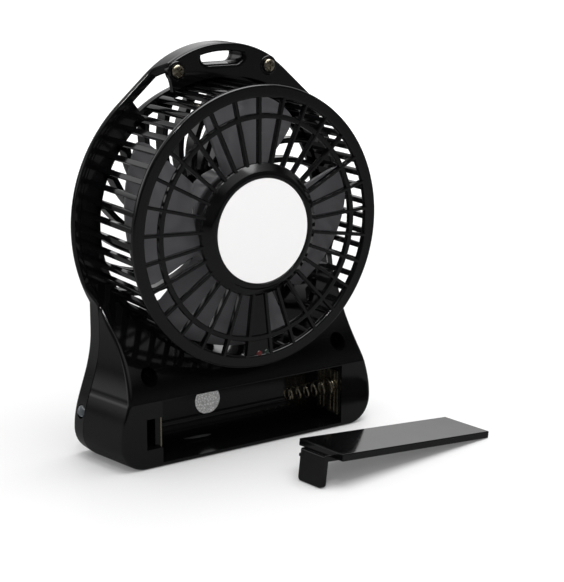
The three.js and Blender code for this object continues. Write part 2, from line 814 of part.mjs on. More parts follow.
function tactSwitch() {
  const rear = boardFrontY - glueGap;
  const half = switchSize / 2;
  const body = box([-half, rear - switchDepth, buttonZ - half], [half, rear, buttonZ + half]);
  const plunger = disc(plungerRadius, rear - switchDepth - plungerReach, rear - switchDepth + 0.2,
    { x: 0, z: buttonZ, steps: smallRound });
  return joined([body, plunger]);
}

function powerButton() {
  const face = frontFaceY - buttonProud;
  const flangeFront = plateInnerY + seatGap;
  const flangeRear = flangeFront + buttonFlangeThickness;
  const flange = buttonRadius + buttonFlangeWidth;
  const stemRear = boardFrontY - glueGap - switchDepth - plungerReach - buttonTravel - glueGap;
  return turned([
    [0, face + 0.3], [buttonRadius - 0.5, face], [buttonRadius, face + 0.5], [buttonRadius, flangeFront],
    [flange, flangeFront], [flange, flangeRear], [plungerRadius, flangeRear], [plungerRadius, stemRear],
    [0, stemRear],
  ], { x: 0, z: buttonZ, steps: 24 });
}

// ---- fasteners and contacts --------------------------------------------------------------------
function screw(seatY, place) {
  const seat = seatY + seatGap;
  const top = seat + screwHeadHeight;
  return turned([
    [0, screwTipY], [screwShankRadius, screwTipY], [screwShankRadius, seat], [screwHeadRadius, seat],
    [screwHeadRadius, top - 0.6], [screwHeadRadius * 0.7, top - 0.1], [0, top],
  ], place);
}

function contactPlate(wallX, inward) {
  const near = wallX + inward * glueGap;
  const far = near + inward * contactThickness;
  return box([Math.min(near, far), bayMiddleY - contactWidth / 2, bayMiddleZ - contactHeight / 2],
    [Math.max(near, far), bayMiddleY + contactWidth / 2, bayMiddleZ + contactHeight / 2]);
}

function positiveContact() {
  const dimple = latheUp([
    [0, 0], [dimpleRadius, 0], [dimpleRadius * 0.7, dimpleHeight], [0, dimpleHeight],
  ], smallRound);
  dimple.rotateZ(Math.PI / 2).translate(bayLeft - contactThickness, springY, springZ);
  return joined([contactPlate(bayLeft, -1), solid(dimple)]);
}

class ConicalHelix extends THREE.Curve {
  getPoint(t, target = new THREE.Vector3()) {
    const angle = 2 * Math.PI * springTurns * t;
    const radius = springRadius + (springTipRadius - springRadius) * t;
    const start = bayRight + glueGap + contactThickness + seatGap + springWire / 2;
    const y = springY + radius * Math.cos(angle);
    return target.set(start + springLength * t, y, springZ + radius * Math.sin(angle));
  }
}

function batterySpring() {
  const section = new THREE.Shape();
  section.absarc(0, 0, springWire / 2, 0, Math.PI * 2);
  return solid(new THREE.ExtrudeGeometry(section, {
    steps: springTurns * 9, curveSegments: 3, bevelEnabled: false, extrudePath: new ConicalHelix(),
  }));
}

// ---- battery door ------------------------------------------------------------------------------
// drawn in X (along the plate, leg end at 0, plate towards -X) and Z (plate's top at 0)
function doorPlateProfile() {
  const shape = new THREE.Shape();
  shape.moveTo(0, -doorEdge);
  shape.lineTo(-doorEdge, 0);
  shape.lineTo(doorEdge - doorLength, 0);
  shape.lineTo(-doorLength, -doorEdge);
  shape.lineTo(-doorLength, -doorThickness);
  shape.lineTo(0, -doorThickness);
  return shape;
}

function doorLegProfile() {
  const outer = doorBridge + doorLegThickness;
  const shoulder = -doorThickness * 0.45;
  const toothTop = -doorThickness - doorEdge;
  const shape = new THREE.Shape();
  shape.moveTo(-doorLegRoot, shoulder);
  shape.lineTo(-doorLegRoot, -doorThickness - 2 * doorEdge);
  shape.lineTo(doorBridge, -doorThickness - 2 * doorEdge);
  shape.lineTo(doorBridge, -doorLegLength);
  shape.lineTo(doorBridge + doorLegTip, -doorLegLength);
  shape.lineTo(outer, toothTop - doorToothHeight);
  shape.lineTo(outer + doorToothReach, toothTop - doorToothHeight * 0.6);
  shape.lineTo(outer, toothTop);
  shape.lineTo(outer, shoulder - doorEdge);
  shape.lineTo(outer - doorEdge, shoulder);
  return shape;
}

function batteryDoor() {
  const plate = slab(doorPlateProfile(), -doorWidth / 2, doorWidth / 2);
  const leg = slab(doorLegProfile(), -doorLegWidth / 2, doorLegWidth / 2);
  return joined([plate, leg]);
}

// ---- the assembly ------------------------------------------------------------------------------
const black = { color: 0x0c0c0d, roughness: 0.18, metalness: 0 };
const smoke = { color: 0x8b898d, roughness: 0.35, metalness: 0 };
const nickel = { color: 0xc9c4b8, roughness: 0.3, metalness: 1 };
const steel = { color: 0xb4b6ba, roughness: 0.25, metalness: 1 };
const paper = { color: 0xf7f7f4, roughness: 0.6, metalness: 0 };
const foil = { color: 0xc4c6c8, roughness: 0.3, metalness: 0.9 };

const fan = new THREE.Group();

function place(name, body, look, parent = fan) {
  const mesh = new THREE.Mesh(surface(body), new THREE.MeshStandardMaterial(look));
  mesh.name = name;
  parent.add(mesh);
  return mesh;
}

place('rear_housing', rearHousing(), black);
place('front_housing', frontHousing(), black);
place('impeller', impeller(), smoke);
place('motor', motorCan(), steel);
place('motor_shaft', shaft(), steel);
place('hub_label', hubLabel(), paper);
place('bay_seal', baySeal(), foil);
place('charge_lamp', indicatorLamp(0), { color: 0xd81e1e, roughness: 0.15, metalness: 0 });
place('full_lamp', indicatorLamp(-ledApart), { color: 0x14402a, roughness: 0.15, metalness: 0 });
place('side_lamp', sideLamp(), { color: 0xe6ecf2, roughness: 0.05, metalness: 0 });
place('circuit_board', circuitBoard(), { color: 0x1c5a34, roughness: 0.5, metalness: 0 });
place('power_switch', tactSwitch(), { color: 0x2a2a2c, roughness: 0.5, metalness: 0.2 });
place('power_button', powerButton(), { color: 0x16161a, roughness: 0.3, metalness: 0 });
place('usb_socket', usbSocket(), steel);
place('battery_spring', batterySpring(), nickel);
place('spring_plate', contactPlate(bayRight, 1), nickel);
place('positive_contact', positiveContact(), nickel);
for (const [side, word] of [[1, 'left'], [-1, 'right']]) {
  place(`top_screw_${word}`, screw(topBossRearY, topScrewPlace(side)), nickel);
  place(`foot_screw_${word}`, screw(footScrewSeatY, footScrewPlace(side)), nickel);
}

// the door leans on its leg and on the far edge of its plate
const doorTilt = Math.atan2(doorLegLength - doorThickness, doorLength + doorBridge);
const leaningDoor = new THREE.Group();
const door = place('battery_door', batteryDoor(), black, leaningDoor);
leaningDoor.rotation.set(0, -doorTilt, rad(doorTurn), 'ZYX');
leaningDoor.updateMatrixWorld(true);
const nearCorner = new THREE.Vector3(0, doorWidth / 2, 0).applyMatrix4(door.matrixWorld);
const lowest = new THREE.Box3().setFromObject(door, true).min.z;
leaningDoor.position.set(doorCornerX - nearCorner.x, doorCornerY - nearCorner.y, -lowest);
fan.add(leaningDoor);

export default fan;
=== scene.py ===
import math

import bmesh
import bpy
from bpy.props import FloatProperty, FloatVectorProperty, IntProperty, PointerProperty
from mathutils import Euler, Matrix, Vector
from mathutils.geometry import interpolate_bezier


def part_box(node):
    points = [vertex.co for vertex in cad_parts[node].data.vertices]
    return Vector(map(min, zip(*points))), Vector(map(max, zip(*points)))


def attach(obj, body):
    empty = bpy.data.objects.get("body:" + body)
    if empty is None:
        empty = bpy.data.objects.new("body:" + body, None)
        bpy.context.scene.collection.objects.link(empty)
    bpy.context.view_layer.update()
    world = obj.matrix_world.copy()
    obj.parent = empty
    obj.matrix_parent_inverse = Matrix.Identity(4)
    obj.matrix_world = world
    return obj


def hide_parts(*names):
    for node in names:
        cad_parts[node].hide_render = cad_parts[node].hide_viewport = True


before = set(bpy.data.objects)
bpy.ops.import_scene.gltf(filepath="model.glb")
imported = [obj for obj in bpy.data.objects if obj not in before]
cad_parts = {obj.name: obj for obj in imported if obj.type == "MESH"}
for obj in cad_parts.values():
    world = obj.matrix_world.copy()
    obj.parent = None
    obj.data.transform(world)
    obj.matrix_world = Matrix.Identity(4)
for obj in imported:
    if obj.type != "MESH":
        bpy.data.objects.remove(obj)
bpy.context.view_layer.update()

bl_info = {
    "name": "Desk fan with battery door",
    "version": (1, 0, 0),
    "blender": (4, 5, 0),
    "location": "View3D > Sidebar > Desk fan",
    "description": "Models a small rechargeable desk fan around its packed parts",
    "category": "Add Mesh",
}

ALONG_DEPTH = Vector((0, 1, 0))
# degrees about the fan's axis between which each window beside the handle lies
WINDOW_LOW, WINDOW_HIGH = 53, 71.3
# degrees between which the shallow hoop grows into the thick handle
HOOP_END, HANDLE_START = 64, 71
FAR_HOOP_END, FAR_HANDLE_START = 37, 46
# the hub and its label sit this much low in the grille, in millimetres
HUB_DROP = 0.4
# the fan's axis above the table, in millimetres
FAN_AXIS = 81
# the foot's screws, from its middle and above the table, and the radius of their wells
FOOT_SCREW_SIDE, FOOT_SCREW_HEIGHT, FOOT_WELL = 39.9, 32.1, 3.1
# the button's height and the radius of its hole
BUTTON_HEIGHT, BUTTON_HOLE = 16, 5.1
# wall of the front housing's face
FACE_WALL = 1.8
# the slot that takes the door's snap leg, past the bay's end wall
LATCH_WALL, LATCH_WIDTH, LATCH_DEPTH = 2, 4.3, 12.8
LATCH_LOW, LATCH_HIGH = 7.225, 18.325
# the foot's flare is bent between these heights
FLARE_LOW, FLARE_HIGH = 22, 30
# the foot's draft fades out below this height, over this much
DRAFT_TOP, DRAFT_FADE = 56, 12
# where the foot's side ends, and where the rim's lip and the wall inside it start
SIDE_TOP, LIP_LOW, PLATE_LOW = 55.4, 54.2, 48
# the web behind the waist: its heights and where it starts beside the drum
WEB_LOW, WEB_HIGH, WEB_INSIDE = 50, 62.4, 36
# the side lamp's hole: its radius, depth and height
LAMP_HOLE, LAMP_DEPTH, LAMP_HEIGHT = 2.5, -10.4, 16.9
# corners of the opening for the charging socket
SOCKET_LOW, SOCKET_HIGH = (-60, -12.6, 9.9), (-46, -9, 18.1)
# the battery spring's axis in the bay: its depth and height in millimetres
SPRING_DEPTH, SPRING_HEIGHT = 7.4, 14.6
# the motor's cup behind the hub: its radii, and its depths from the front
CUP_OUTSIDE, CUP_INSIDE, CUP_FRONT, CUP_REAR = 14.2, 12.6, 5.2, 17.2
# height of a screw's head
SCREW_HEAD = 1.5
# how the door lies on the table: its turn in degrees and where its near corner is
DOOR_TURN = 8.3
DOOR_CORNER = (-3.3, 64.1)
# inside of the drum, where the blades run, and the seat of its wall in the housings
DRUM_BORE, DRUM_SEAT = 46.9, 47.0
# the part of a noise that is spread over a range
NOISE_MIDDLE = (0.3, 0.7)


def mm(value):
    """Millimetres as Blender's metres."""
    return value * 0.001


def linear(hex_colour):
    """An sRGB hex colour as linear red, green, blue and alpha."""
    parts = [int(hex_colour[i:i + 2], 16) / 255 for i in (0, 2, 4)]
    bent = [p / 12.92 if p <= 0.04045 else ((p + 0.055) / 1.055) ** 2.4 for p in parts]
    return (*bent, 1.0)


def length(name, description, millimetres):
    """A size that a user may change, in metres."""
    return FloatProperty(name=name, description=description, default=mm(millimetres),
                         unit="LENGTH", precision=5)


def colour(name, description, hex_colour):
    """A colour that a user may change."""
    return FloatVectorProperty(name=name, description=description, subtype="COLOR", size=4,
                               min=0, max=1, default=linear(hex_colour))


# ---- sizes and colours -------------------------------------------------------------------------

class FanSizes(bpy.types.PropertyGroup):
    """Sizes of the fan's pieces."""
    fan_height: length("Fan axis height", "Height of the fan's axis above the table", FAN_AXIS)
    rim_radius: length("Rim radius", "Outer edge of the rim round the drum", 56.3)
    handle_radius: length("Handle radius", "Arc over the carrying handle", 39.5)
    handle_rise: length("Handle rise", "Centre of the handle's arc above the fan's axis", 22.4)
    waist_half: length("Half waist", "Half the width where foot and rim meet", 49.8)
    waist_height: length("Waist height", "Where the flare of the foot ends", 45)
    foot_half: length("Half foot", "Half the width of the foot", 57.1)
    foot_corner: length("Foot corner", "Rounding of the foot's lower corners", 10)
    foot_taper: length("Foot taper", "Each side draws in by this towards the rear", 4.5)
    front_face: length("Front face", "Depth of the front face", -15.8)
    front_round: length("Front rounding", "Rounding of the front housing's edge", 2)
    skirt_wall: length("Skirt wall", "Wall of the front housing", 1.6)
    seam: length("Seam", "Depth of the seam between the two housings", -7.5)
    seam_gap: length("Seam gap", "Gap between the two housings", 0.3)
    handle_rear: length("Handle rear", "Rear face of the carrying handle", -5.4)
    handle_wall: length("Handle wall", "Wall of the handle's rear face", 2.0)
    handle_core: length("Handle core", "Half the width of the handle's thick middle", 13.0)
    foot_rear: length("Foot rear", "Depth of the foot's rear face", 13.8)
    foot_round: length("Foot rounding", "Rounding of the foot's rear edges", 1.4)
    ridge_height: length("Ridge height", "Where the slope behind the drum starts", 24.4)
    slope_height: length("Slope height", "From the ridge to the top of the slope", 36.4)
    slope_run: length("Slope run", "How far the slope goes forward", 25.8)
    hoop_rear: length("Hoop rear", "Rear edge of the shallow hoop beside the drum", -12.3)
    rim_round: length("Rim rounding", "Depth of the rim behind the front housing's edge", 1.2)
    hoop_width: length("Hoop width", "Width of that hoop", 2.9)
    plate_front: length("Inner plate", "Front of the wall inside the rim", -13.7)
    plate_wall: length("Inner plate wall", "Wall inside the rim", 1.2)
    slot_length: length("Hanging slot length", "Length of the slot in the handle", 17.0)
    slot_height: length("Hanging slot height", "Height of the slot in the handle", 5.6)
    slot_inset: length("Hanging slot inset", "Slot below the top of the handle", 4.6)
    slot_shift: length("Slot shift", "Middle of the slot from the middle of the fan", 0.2)
    slot_mouth: length("Slot mouth", "Rounding of the slot's rear mouth", 1.5)
    lobe_radius: length("Screw lobe radius", "Rounded end of the handle round its screw", 3.7)
    drum_radius: length("Drum radius", "Outer radius of the slatted drum", 48.9)
    drum_wall: length("Drum wall", "Thickness of the slats along the radius", 2)
    slat_width: length("Slat width", "Width of one slat", 2.0)
    slat_count: IntProperty(name="Slats", description="Number of slats round the drum", default=55)
    slat_rear: length("Slat rear end", "Where the slats meet the rear ring", 15.1)
    ring_radius: length("Ring radius", "Outer radius of the rear ring", 49.7)
    ring_width: length("Ring width", "Width of the rear ring's face", 4.4)
    grille_rear: length("Grille rear", "Rear face of the spokes", 18.3)
    grille_depth: length("Grille depth", "Depth of the spokes", 2.1)
    spoke_width: length("Spoke width", "Width of one spoke", 1.25)
    spoke_count: IntProperty(name="Spokes", description="Number of spokes", default=29)
    middle_ring: length("Middle ring", "Radius of the ring across the spokes", 39.1)
    middle_width: length("Middle ring width", "Width of that ring", 1.9)
    hub_foot: length("Hub foot", "Foot radius of the hub's cone", 23.4)
    hub_top: length("Hub top", "Top radius of the hub's cone", 19.7)
    hub_rear: length("Hub rear", "Depth of the hub's flat rim", 20.3)
    label_seat: length("Label seat", "Radius of the seat for the round label", 18.7)
    cap_radius: length("Front cap", "Radius of the cap in the front grille", 18)
    cap_crown: length("Cap crown", "How far the cap stands out of the ribs", 1.4)
    cap_wall: length("Cap wall", "Thickness of the cap at its edge", 2.4)
    rim_inner: length("Grille rim inside", "Inner radius of the raised rim of the front grille", 45)
    rim_outer: length("Grille rim outside", "Outer radius of that rim", 48.3)
    rib_count: IntProperty(name="Front ribs", description="Number of ribs in the front grille",
                           default=26)
    rib_width: length("Front rib width", "Width of one rib", 2.0)
    rib_depth: length("Front rib depth", "Depth of one rib", 6)
    rib_phase: FloatProperty(name="First rib", description="Where the first rib leaves the cap",
                             default=math.radians(5.1), subtype="ANGLE")
    rib_sweep: FloatProperty(name="Rib sweep", default=1.2,
                             description="Degrees a rib turns for each millimetre")
    bay_left: length("Bay left end", "End of the battery bay at its latch", 37.1)
    bay_right: length("Bay right end", "End of the battery bay at its spring", -39.1)
    bay_floor: length("Bay floor", "Height of the bay's lower edge", 1.65)
    bay_top: length("Bay top", "Height of the bay's upper edge", 23.9)
    bay_far: length("Bay far wall", "Depth of the bay's far wall", -5.2)
    bay_cradle: length("Bay cradle", "Rounding under the battery", 6.9)
    impeller_hub: length("Impeller hub", "Radius of the impeller's hub", 18.6)
    blade_tip: length("Blade tip", "Radius of the blade tips", 45.3)
    blade_wall: length("Blade wall", "Thickness of a blade", 1.3)
    blade_middle: length("Blade middle", "Depth midway between a blade's two edges", 0.45)
    blade_rise: length("Blade rise", "Depth that a blade covers at its root", 12)
    blade_twist: length("Blade twist", "How much more depth it covers at its tip", 4.3)
    blade_belly: length("Blade belly", "How far a blade bows backwards in its middle", 1.4)
    blade_first: FloatProperty(name="First blade", description="Middle of the first blade",
                               default=math.radians(9.7), subtype="ANGLE")
    blade_span: FloatProperty(name="Half blade", description="Half the angle a blade covers",
                              default=math.radians(34.3), subtype="ANGLE")
    door_length: length("Door length", "Length of the battery door's plate", 75.6)
    door_width: length("Door width", "Width of the battery door", 21.65)
    door_wall: length("Door wall", "Thickness of the battery door's plate", 2.6)
    door_leg: length("Door leg", "Length of the door's snap leg", 12.5)
    door_leg_width: length("Door leg width", "Width of that leg", 11.6)


class FanFinishes(bpy.types.PropertyGroup):
    """Colours of the fan's materials."""
    black: colour("Gloss black", "Polished ABS of the housings", "070708")
    smoke: colour("Smoke grey", "Blades of the impeller", "626164")
    label: colour("Label white", "Round label on the hub", "fbfafa")
    foil: colour("Foil", "Speckled seal in the battery bay", "ffffff")
    nickel: colour("Nickel", "Screws, spring and contacts", "b3ab98")
    steel: colour("Steel", "Motor can, shaft and socket", "b4b6ba")
    red: colour("Red lens", "Charging lamp", "3c0a0c")
    green: colour("Green lens", "Full lamp, unlit", "0a1812")
    clear: colour("Clear lens", "Lamp in the side of the foot", "8f969c")
    board: colour("Board green", "Circuit board", "1c5a34")
    floor: colour("Floor", "Table top", "cccccc")


class StageSettings(bpy.types.PropertyGroup):
    """Camera and lamps."""
    azimuth: FloatProperty(name="Azimuth", description="Camera's direction round the fan",
                           default=math.radians(145.99), subtype="ANGLE")
    elevation: FloatProperty(name="Elevation", description="Camera's height as an angle",
                             default=math.radians(14.51), subtype="ANGLE")
    roll: FloatProperty(name="Roll", description="Camera's turn about its own axis",
                        default=math.radians(0.29), subtype="ANGLE")
    distance: length("Distance", "From the camera to the point it looks at", 524.7)
    aim_depth: length("Aim depth", "Depth of the point the camera looks at", 31.8)
    aim_height: length("Aim height", "Height of the point the camera looks at", 61.85)
    lens: FloatProperty(name="Lens", description="Focal length in millimetres on a 36 mm sensor",
                        default=98.19)
    overhead: FloatProperty(name="Overhead lamp", description="Power of the soft lamp above",
                            default=9.0, unit="POWER")
    sparkle: FloatProperty(name="Sparkle lamp", default=2.0, unit="POWER",
                           description="Power of the small lamp that lights edges")
    fill: FloatProperty(name="Fill", description="Strength of the room's own light",
                        default=0.76)


# ---- materials ---------------------------------------------------------------------------------

def add_node(tree, kind, settings=None, links=None):
    """Adds a node; settings fill properties or sockets, links join sockets to (node, output)."""
    node = tree.nodes.new(kind)
    for name, value in (settings or {}).items():
        if isinstance(name, str) and hasattr(node, name):
            setattr(node, name, value)
        else:
            node.inputs[name].default_value = value
    for name, (source, output) in (links or {}).items():
        tree.links.new(source.outputs[output], node.inputs[name])
    return node


def surface(name, settings, rough=None, tint=None, relief=()):
    """A material of one shader with patterns laid on it in Object coordinates.

    A pattern is its texture, its grain in millimetres and its other settings. After it, rough has
    two levels, tint has two colours, and each relief has a strength and a depth in millimetres.
    """
    material = bpy.data.materials.new(name)
    material.use_nodes = True
    tree = material.node_tree
    tree.nodes.clear()
    place = add_node(tree, "ShaderNodeTexCoord")

    def laid(kind, grain, more, span=None, low=0.0, high=1.0):
        texture = add_node(tree, "ShaderNodeTex" + kind, {"Scale": 1 / mm(grain), **more},
                           {"Vector": (place, "Object")})
        if span is None:
            return texture, 0
        return add_node(tree, "ShaderNodeMapRange", {"From Min": span[0], "From Max": span[1],
                        "To Min": low, "To Max": high}, {"Value": (texture, 0)}), "Result"

    links = {}
    if rough:
        *pattern, low, high = rough
        links["Roughness"] = laid(*pattern, NOISE_MIDDLE, low, high)
    if tint:
        *pattern, first, second = tint
        links["Base Color"] = (add_node(tree, "ShaderNodeMix", {"data_type": "RGBA", 6: first,
                               7: second}, {0: laid(*pattern)}), 2)
    for *pattern, strength, depth in relief:
        under = {"Normal": links["Normal"]} if "Normal" in links else {}
        bump = add_node(tree, "ShaderNodeBump", {"Strength": strength, "Distance": mm(depth)},
                        {"Height": laid(*pattern), **under})
        links["Normal"] = (bump, "Normal")
    shader = add_node(tree, "ShaderNodeBsdfPrincipled", settings, links)
    add_node(tree, "ShaderNodeOutputMaterial", links={"Surface": (shader, "BSDF")})
    return material


def shade(base, factor, lift=0.0):
    """A colour made lighter or darker, in linear values."""
    return tuple(min(1, c * factor + lift) for c in base[:3]) + (1,)


def polished_abs(finishes):
    """ABS moulded in a polished tool: a deep black with sharp reflections that waver a little."""
    # first the slow wave of a moulded face, then the grain that thin bars show where they cooled
    return surface("Polished black ABS", {"Base Color": finishes.black, "IOR": 1.53},
                   rough=("Noise", 17, {"Detail": 3.0}, 0.06, 0.13),
                   relief=[("Noise", 9, {"Detail": 1.0}, 0.10, 0.05),
                           ("Noise", 0.8, {"Detail": 2.0}, 0.05, 0.01)])


def smoke_polystyrene(finishes):
    """Polystyrene with a little grey pigment: milky and glossy, with faint clouds in it."""
    return surface("Smoke grey polystyrene",
                   {"IOR": 1.58, "Subsurface Weight": 0.25, "Subsurface Scale": mm(1.0),
                    "Subsurface Radius": (1.0, 1.0, 1.0)},
                   rough=("Noise", 3, {"Detail": 3.0}, 0.14, 0.24),
                   tint=("Noise", 22, {"Detail": 2.0}, finishes.smoke, shade(finishes.smoke, 1.25)))


def coated_paper(finishes):
    """White coated paper: flat white with a faint fibre and a soft sheen."""
    fibre = ("Noise", 0.35, {"Detail": 4.0})
    return surface("Coated white paper", {"Base Color": finishes.label, "IOR": 1.45},
                   rough=(*fibre, 0.42, 0.55), relief=[(*fibre, 0.12, 0.02)])


def speckled_foil(finishes):
    """Tamper seal of embossed aluminium foil: bright flakes between fine creases, which are painted
    grey as shade.
    """
    # the grey near each cell's edge is painted shade in the creases; the same cells give the
    # creases their relief
    flakes = ("Voronoi", 0.95, {"feature": "DISTANCE_TO_EDGE"}, (0.03, 0.22))
    return surface("Embossed aluminium foil", {"Metallic": 0.1, "Roughness": 0.35},
                   tint=(*flakes, linear("c4c4c2"), finishes.foil), relief=[(*flakes, 0.6, 0.12)])


def plated_metal(name, base, roughness, grain):
    """Plated or rolled metal, with fine marks from how it was made and slightly duller patches."""
    return surface(name, {"Base Color": base, "Metallic": 1.0},
                   rough=("Noise", grain * 8, {"Detail": 2.0}, roughness, roughness + 0.12),
                   relief=[("Noise", grain, {"Detail": 4.0}, 0.12, 0.03)])


def tinted_lens(name, base, glow):
    """Cast lens: clear resin with a dye, glossy, lit from inside where the lamp is on."""
    return surface(name, {"Roughness": 0.12, "IOR": 1.5, "Emission Color": base,
                          "Emission Strength": glow, "Coat Weight": 0.4},
                   tint=("Noise", 1.5, {"Detail": 2.0}, base, shade(base, 1.6, 0.02)))


def clear_resin(finishes):
    """Clear cast resin of a 5 mm lamp: it passes light and shows the black hole round it."""
    return surface("Clear cast resin",
                   {"Base Color": finishes.clear, "IOR": 1.52, "Transmission Weight": 0.75},
                   rough=("Noise", 2.0, {"Detail": 2.0}, 0.04, 0.12))


def soldermask(finishes):
    """Green soldermask over a woven board: glossy, with the copper showing as paler tracks."""
    tracks = ("Voronoi", 3.5, {"feature": "F1", "distance": "CHEBYCHEV"}, (0.35, 0.42))
    return surface("Green soldermask", {"Roughness": 0.3, "IOR": 1.5},
                   tint=(*tracks, finishes.board, shade(finishes.board, 1.7)))


def moulded_nylon():
    """Glass-filled nylon of the switch: dark, matt, with a fine grain."""
    return surface("Black moulded nylon",
                   {"Base Color": linear("2a2a2c"), "Roughness": 0.55, "IOR": 1.53},
                   relief=[("Noise", 0.4, {"Detail": 3.0}, 0.25, 0.03)])


def material_named(name, make, *given):
    """The material of that name, made the first time it is asked for."""
    found = bpy.data.materials.get(name)
    return found if found else make(*given)


def black_abs(context):
    return material_named("Polished black ABS", polished_abs, context.scene.fan_finishes)


def nickel_plate(context):
    return material_named("Nickel plate", plated_metal, "Nickel plate",
                          context.scene.fan_finishes.nickel, 0.22, 0.35)


def rolled_steel(context):
    return material_named("Rolled steel", plated_metal, "Rolled steel",
                          context.scene.fan_finishes.steel, 0.26, 0.5)


# ---- drawing and shaping -----------------------------------------------------------------------

class Pen:
    """Draws a line in the XZ plane at one depth; each stroke starts where the last one ended."""

    def __init__(self, bm, x, depth, z):
        self.bm = bm
        self.depth = depth
        self.known = set(bm.edges)
        self.first = self.tip = bm.verts.new((x, depth, z))

    def line(self, x, z, steps=1):
        start = self.tip.co.copy()
        for i in range(1, steps + 1):
            point = start.lerp(Vector((x, self.depth, z)), i / steps)
            made = self.bm.verts.new(point)
            self.bm.edges.new((self.tip, made))
            self.tip = made

    def arc(self, x, z, degrees, steps):
        """Turns about (x, z), towards +Z from +X where degrees are above nought."""
        made = bmesh.ops.spin(self.bm, geom=[self.tip], cent=(x, self.depth, z), axis=-ALONG_DEPTH,
                              angle=math.radians(degrees), steps=steps)
        self.tip = next(g for g in made["geom_last"] if isinstance(g, bmesh.types.BMVert))

    def curve(self, *handles, steps):
        points = [self.tip.co] + [Vector((x, self.depth, z)) for x, z in handles]
        for point in interpolate_bezier(*points, steps + 1)[1:]:
            self.line(point.x, point.z)

    def close(self):
        self.bm.edges.new((self.tip, self.first))

    def edges(self):
        return [e for e in self.bm.edges if e not in self.known]


def skin(bm, loops):
    """Joins each loop to the next with faces."""
    for near, far in zip(loops, loops[1:]):
        bmesh.ops.bridge_loops(bm, edges=near + far)


def merge_and_face_out(bm):
    bmesh.ops.remove_doubles(bm, verts=bm.verts, dist=mm(0.001))
    bmesh.ops.dissolve_degenerate(bm, edges=bm.edges, dist=mm(0.0005))
    bmesh.ops.recalc_face_normals(bm, faces=bm.faces)


def mirror_across(bm):
    """Adds the other side, past the plane X = 0, and merges the two."""
    bmesh.ops.mirror(bm, geom=list(bm.verts) + list(bm.edges) + list(bm.faces),
                     merge_dist=mm(0.002), axis="X")
    merge_and_face_out(bm)


def boundary(bm):
    return [e for e in bm.edges if e.is_boundary]


def round_corners(bm, verts, radius, segments=3):
    """Rounds the corners of a drawn line."""
    bmesh.ops.bevel(bm, geom=verts, offset=radius, offset_type="OFFSET", affect="VERTICES",
                    segments=segments, profile=0.5, material=-1, clamp_overlap=True)


def ease_edges(bm, width, segments=2, least=30, chosen=None):
    """Rounds the edges that turn by more than a given angle."""
    sharp = [e for e in bm.edges if len(e.link_faces) == 2
             and e.calc_face_angle(0) > math.radians(least) and (chosen is None or chosen(e))]
    bmesh.ops.bevel(bm, geom=sharp, offset=width, offset_type="OFFSET", affect="EDGES",
                    segments=segments, profile=0.5, material=-1, clamp_overlap=True)


def lathe(points, x=0.0, z=None, steps=96, rounding=0.0, segments=3, closed=False):
    """Turns (radius, depth) points, in millimetres, about the line along Y at x and z."""
    bm = bmesh.new()
    z = mm(FAN_AXIS) if z is None else z
    verts = [bm.verts.new((x + mm(r), mm(y), z)) for r, y in points]
    for a, b in zip(verts, verts[1:]):
        bm.edges.new((a, b))
    if closed:
        bm.edges.new((verts[-1], verts[0]))
    if rounding:
        round_corners(bm, verts if closed else verts[1:-1], mm(rounding), segments)
    bmesh.ops.spin(bm, geom=list(bm.verts) + list(bm.edges), cent=(x, 0, z), axis=ALONG_DEPTH,
                   angle=2 * math.pi, steps=steps, use_merge=True)
    merge_and_face_out(bm)
    return bm


def laid_along_x(bm, place):
    """Turns a shape made along Y at the origin to run along X from a place."""
    bmesh.ops.transform(bm, matrix=Matrix.Rotation(-math.pi / 2, 4, "Z"), verts=bm.verts)
    bmesh.ops.translate(bm, vec=place, verts=bm.verts)
    return bm


def block(low, high, rounding=0.0, segments=2):
    """A block between two corners, in metres, with eased edges."""
    bm = bmesh.new()
    low, high = Vector(low), Vector(high)
    bmesh.ops.create_cube(bm, size=1)
    bmesh.ops.scale(bm, vec=high - low, verts=bm.verts)
    bmesh.ops.translate(bm, vec=(low + high) / 2, verts=bm.verts)
    if rounding:
        ease_edges(bm, rounding, segments)
    return bm


def add_to(bm, *others):
    """Takes the shapes of others into bm."""
    for other in others:
        mesh = bpy.data.meshes.new("taken")
        other.to_mesh(mesh)
        bm.from_mesh(mesh)
        bpy.data.meshes.remove(mesh)
        other.free()
    return bm


def pull(bm, faces, vec):
    """Draws faces out along vec into a solid."""
    grown = bmesh.ops.extrude_face_region(bm, geom=faces)
    moved = [g for g in grown["geom"] if isinstance(g, bmesh.types.BMVert)]
    bmesh.ops.translate(bm, vec=vec, verts=moved)
    bmesh.ops.recalc_face_normals(bm, faces=bm.faces)
    return bm


def bar_along_x(bm, edges, start, end):
    """A solid between two X places; its outline's edges are drawn with depth for X."""
    faces = bmesh.ops.edgeloop_fill(bm, edges=edges)["faces"]
    bmesh.ops.transform(bm, matrix=Matrix.Rotation(math.pi / 2, 4, "Z"), verts=bm.verts)
    bmesh.ops.translate(bm, vec=(start, 0, 0), verts=bm.verts)
    return pull(bm, faces, (end - start, 0, 0))


def repeat_round(bm, z, count):
    """Repeats all of bm round a line along Y at height z."""
    bmesh.ops.spin(bm, geom=list(bm.verts) + list(bm.edges) + list(bm.faces), cent=(0, 0, z),
                   axis=ALONG_DEPTH, angle=2 * math.pi / count * (count - 1), steps=count - 1,
                   use_duplicate=True)
    return bm


def middle(node):
    """The middle of a CAD node's box."""
    low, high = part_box(node)
    return (low + high) / 2


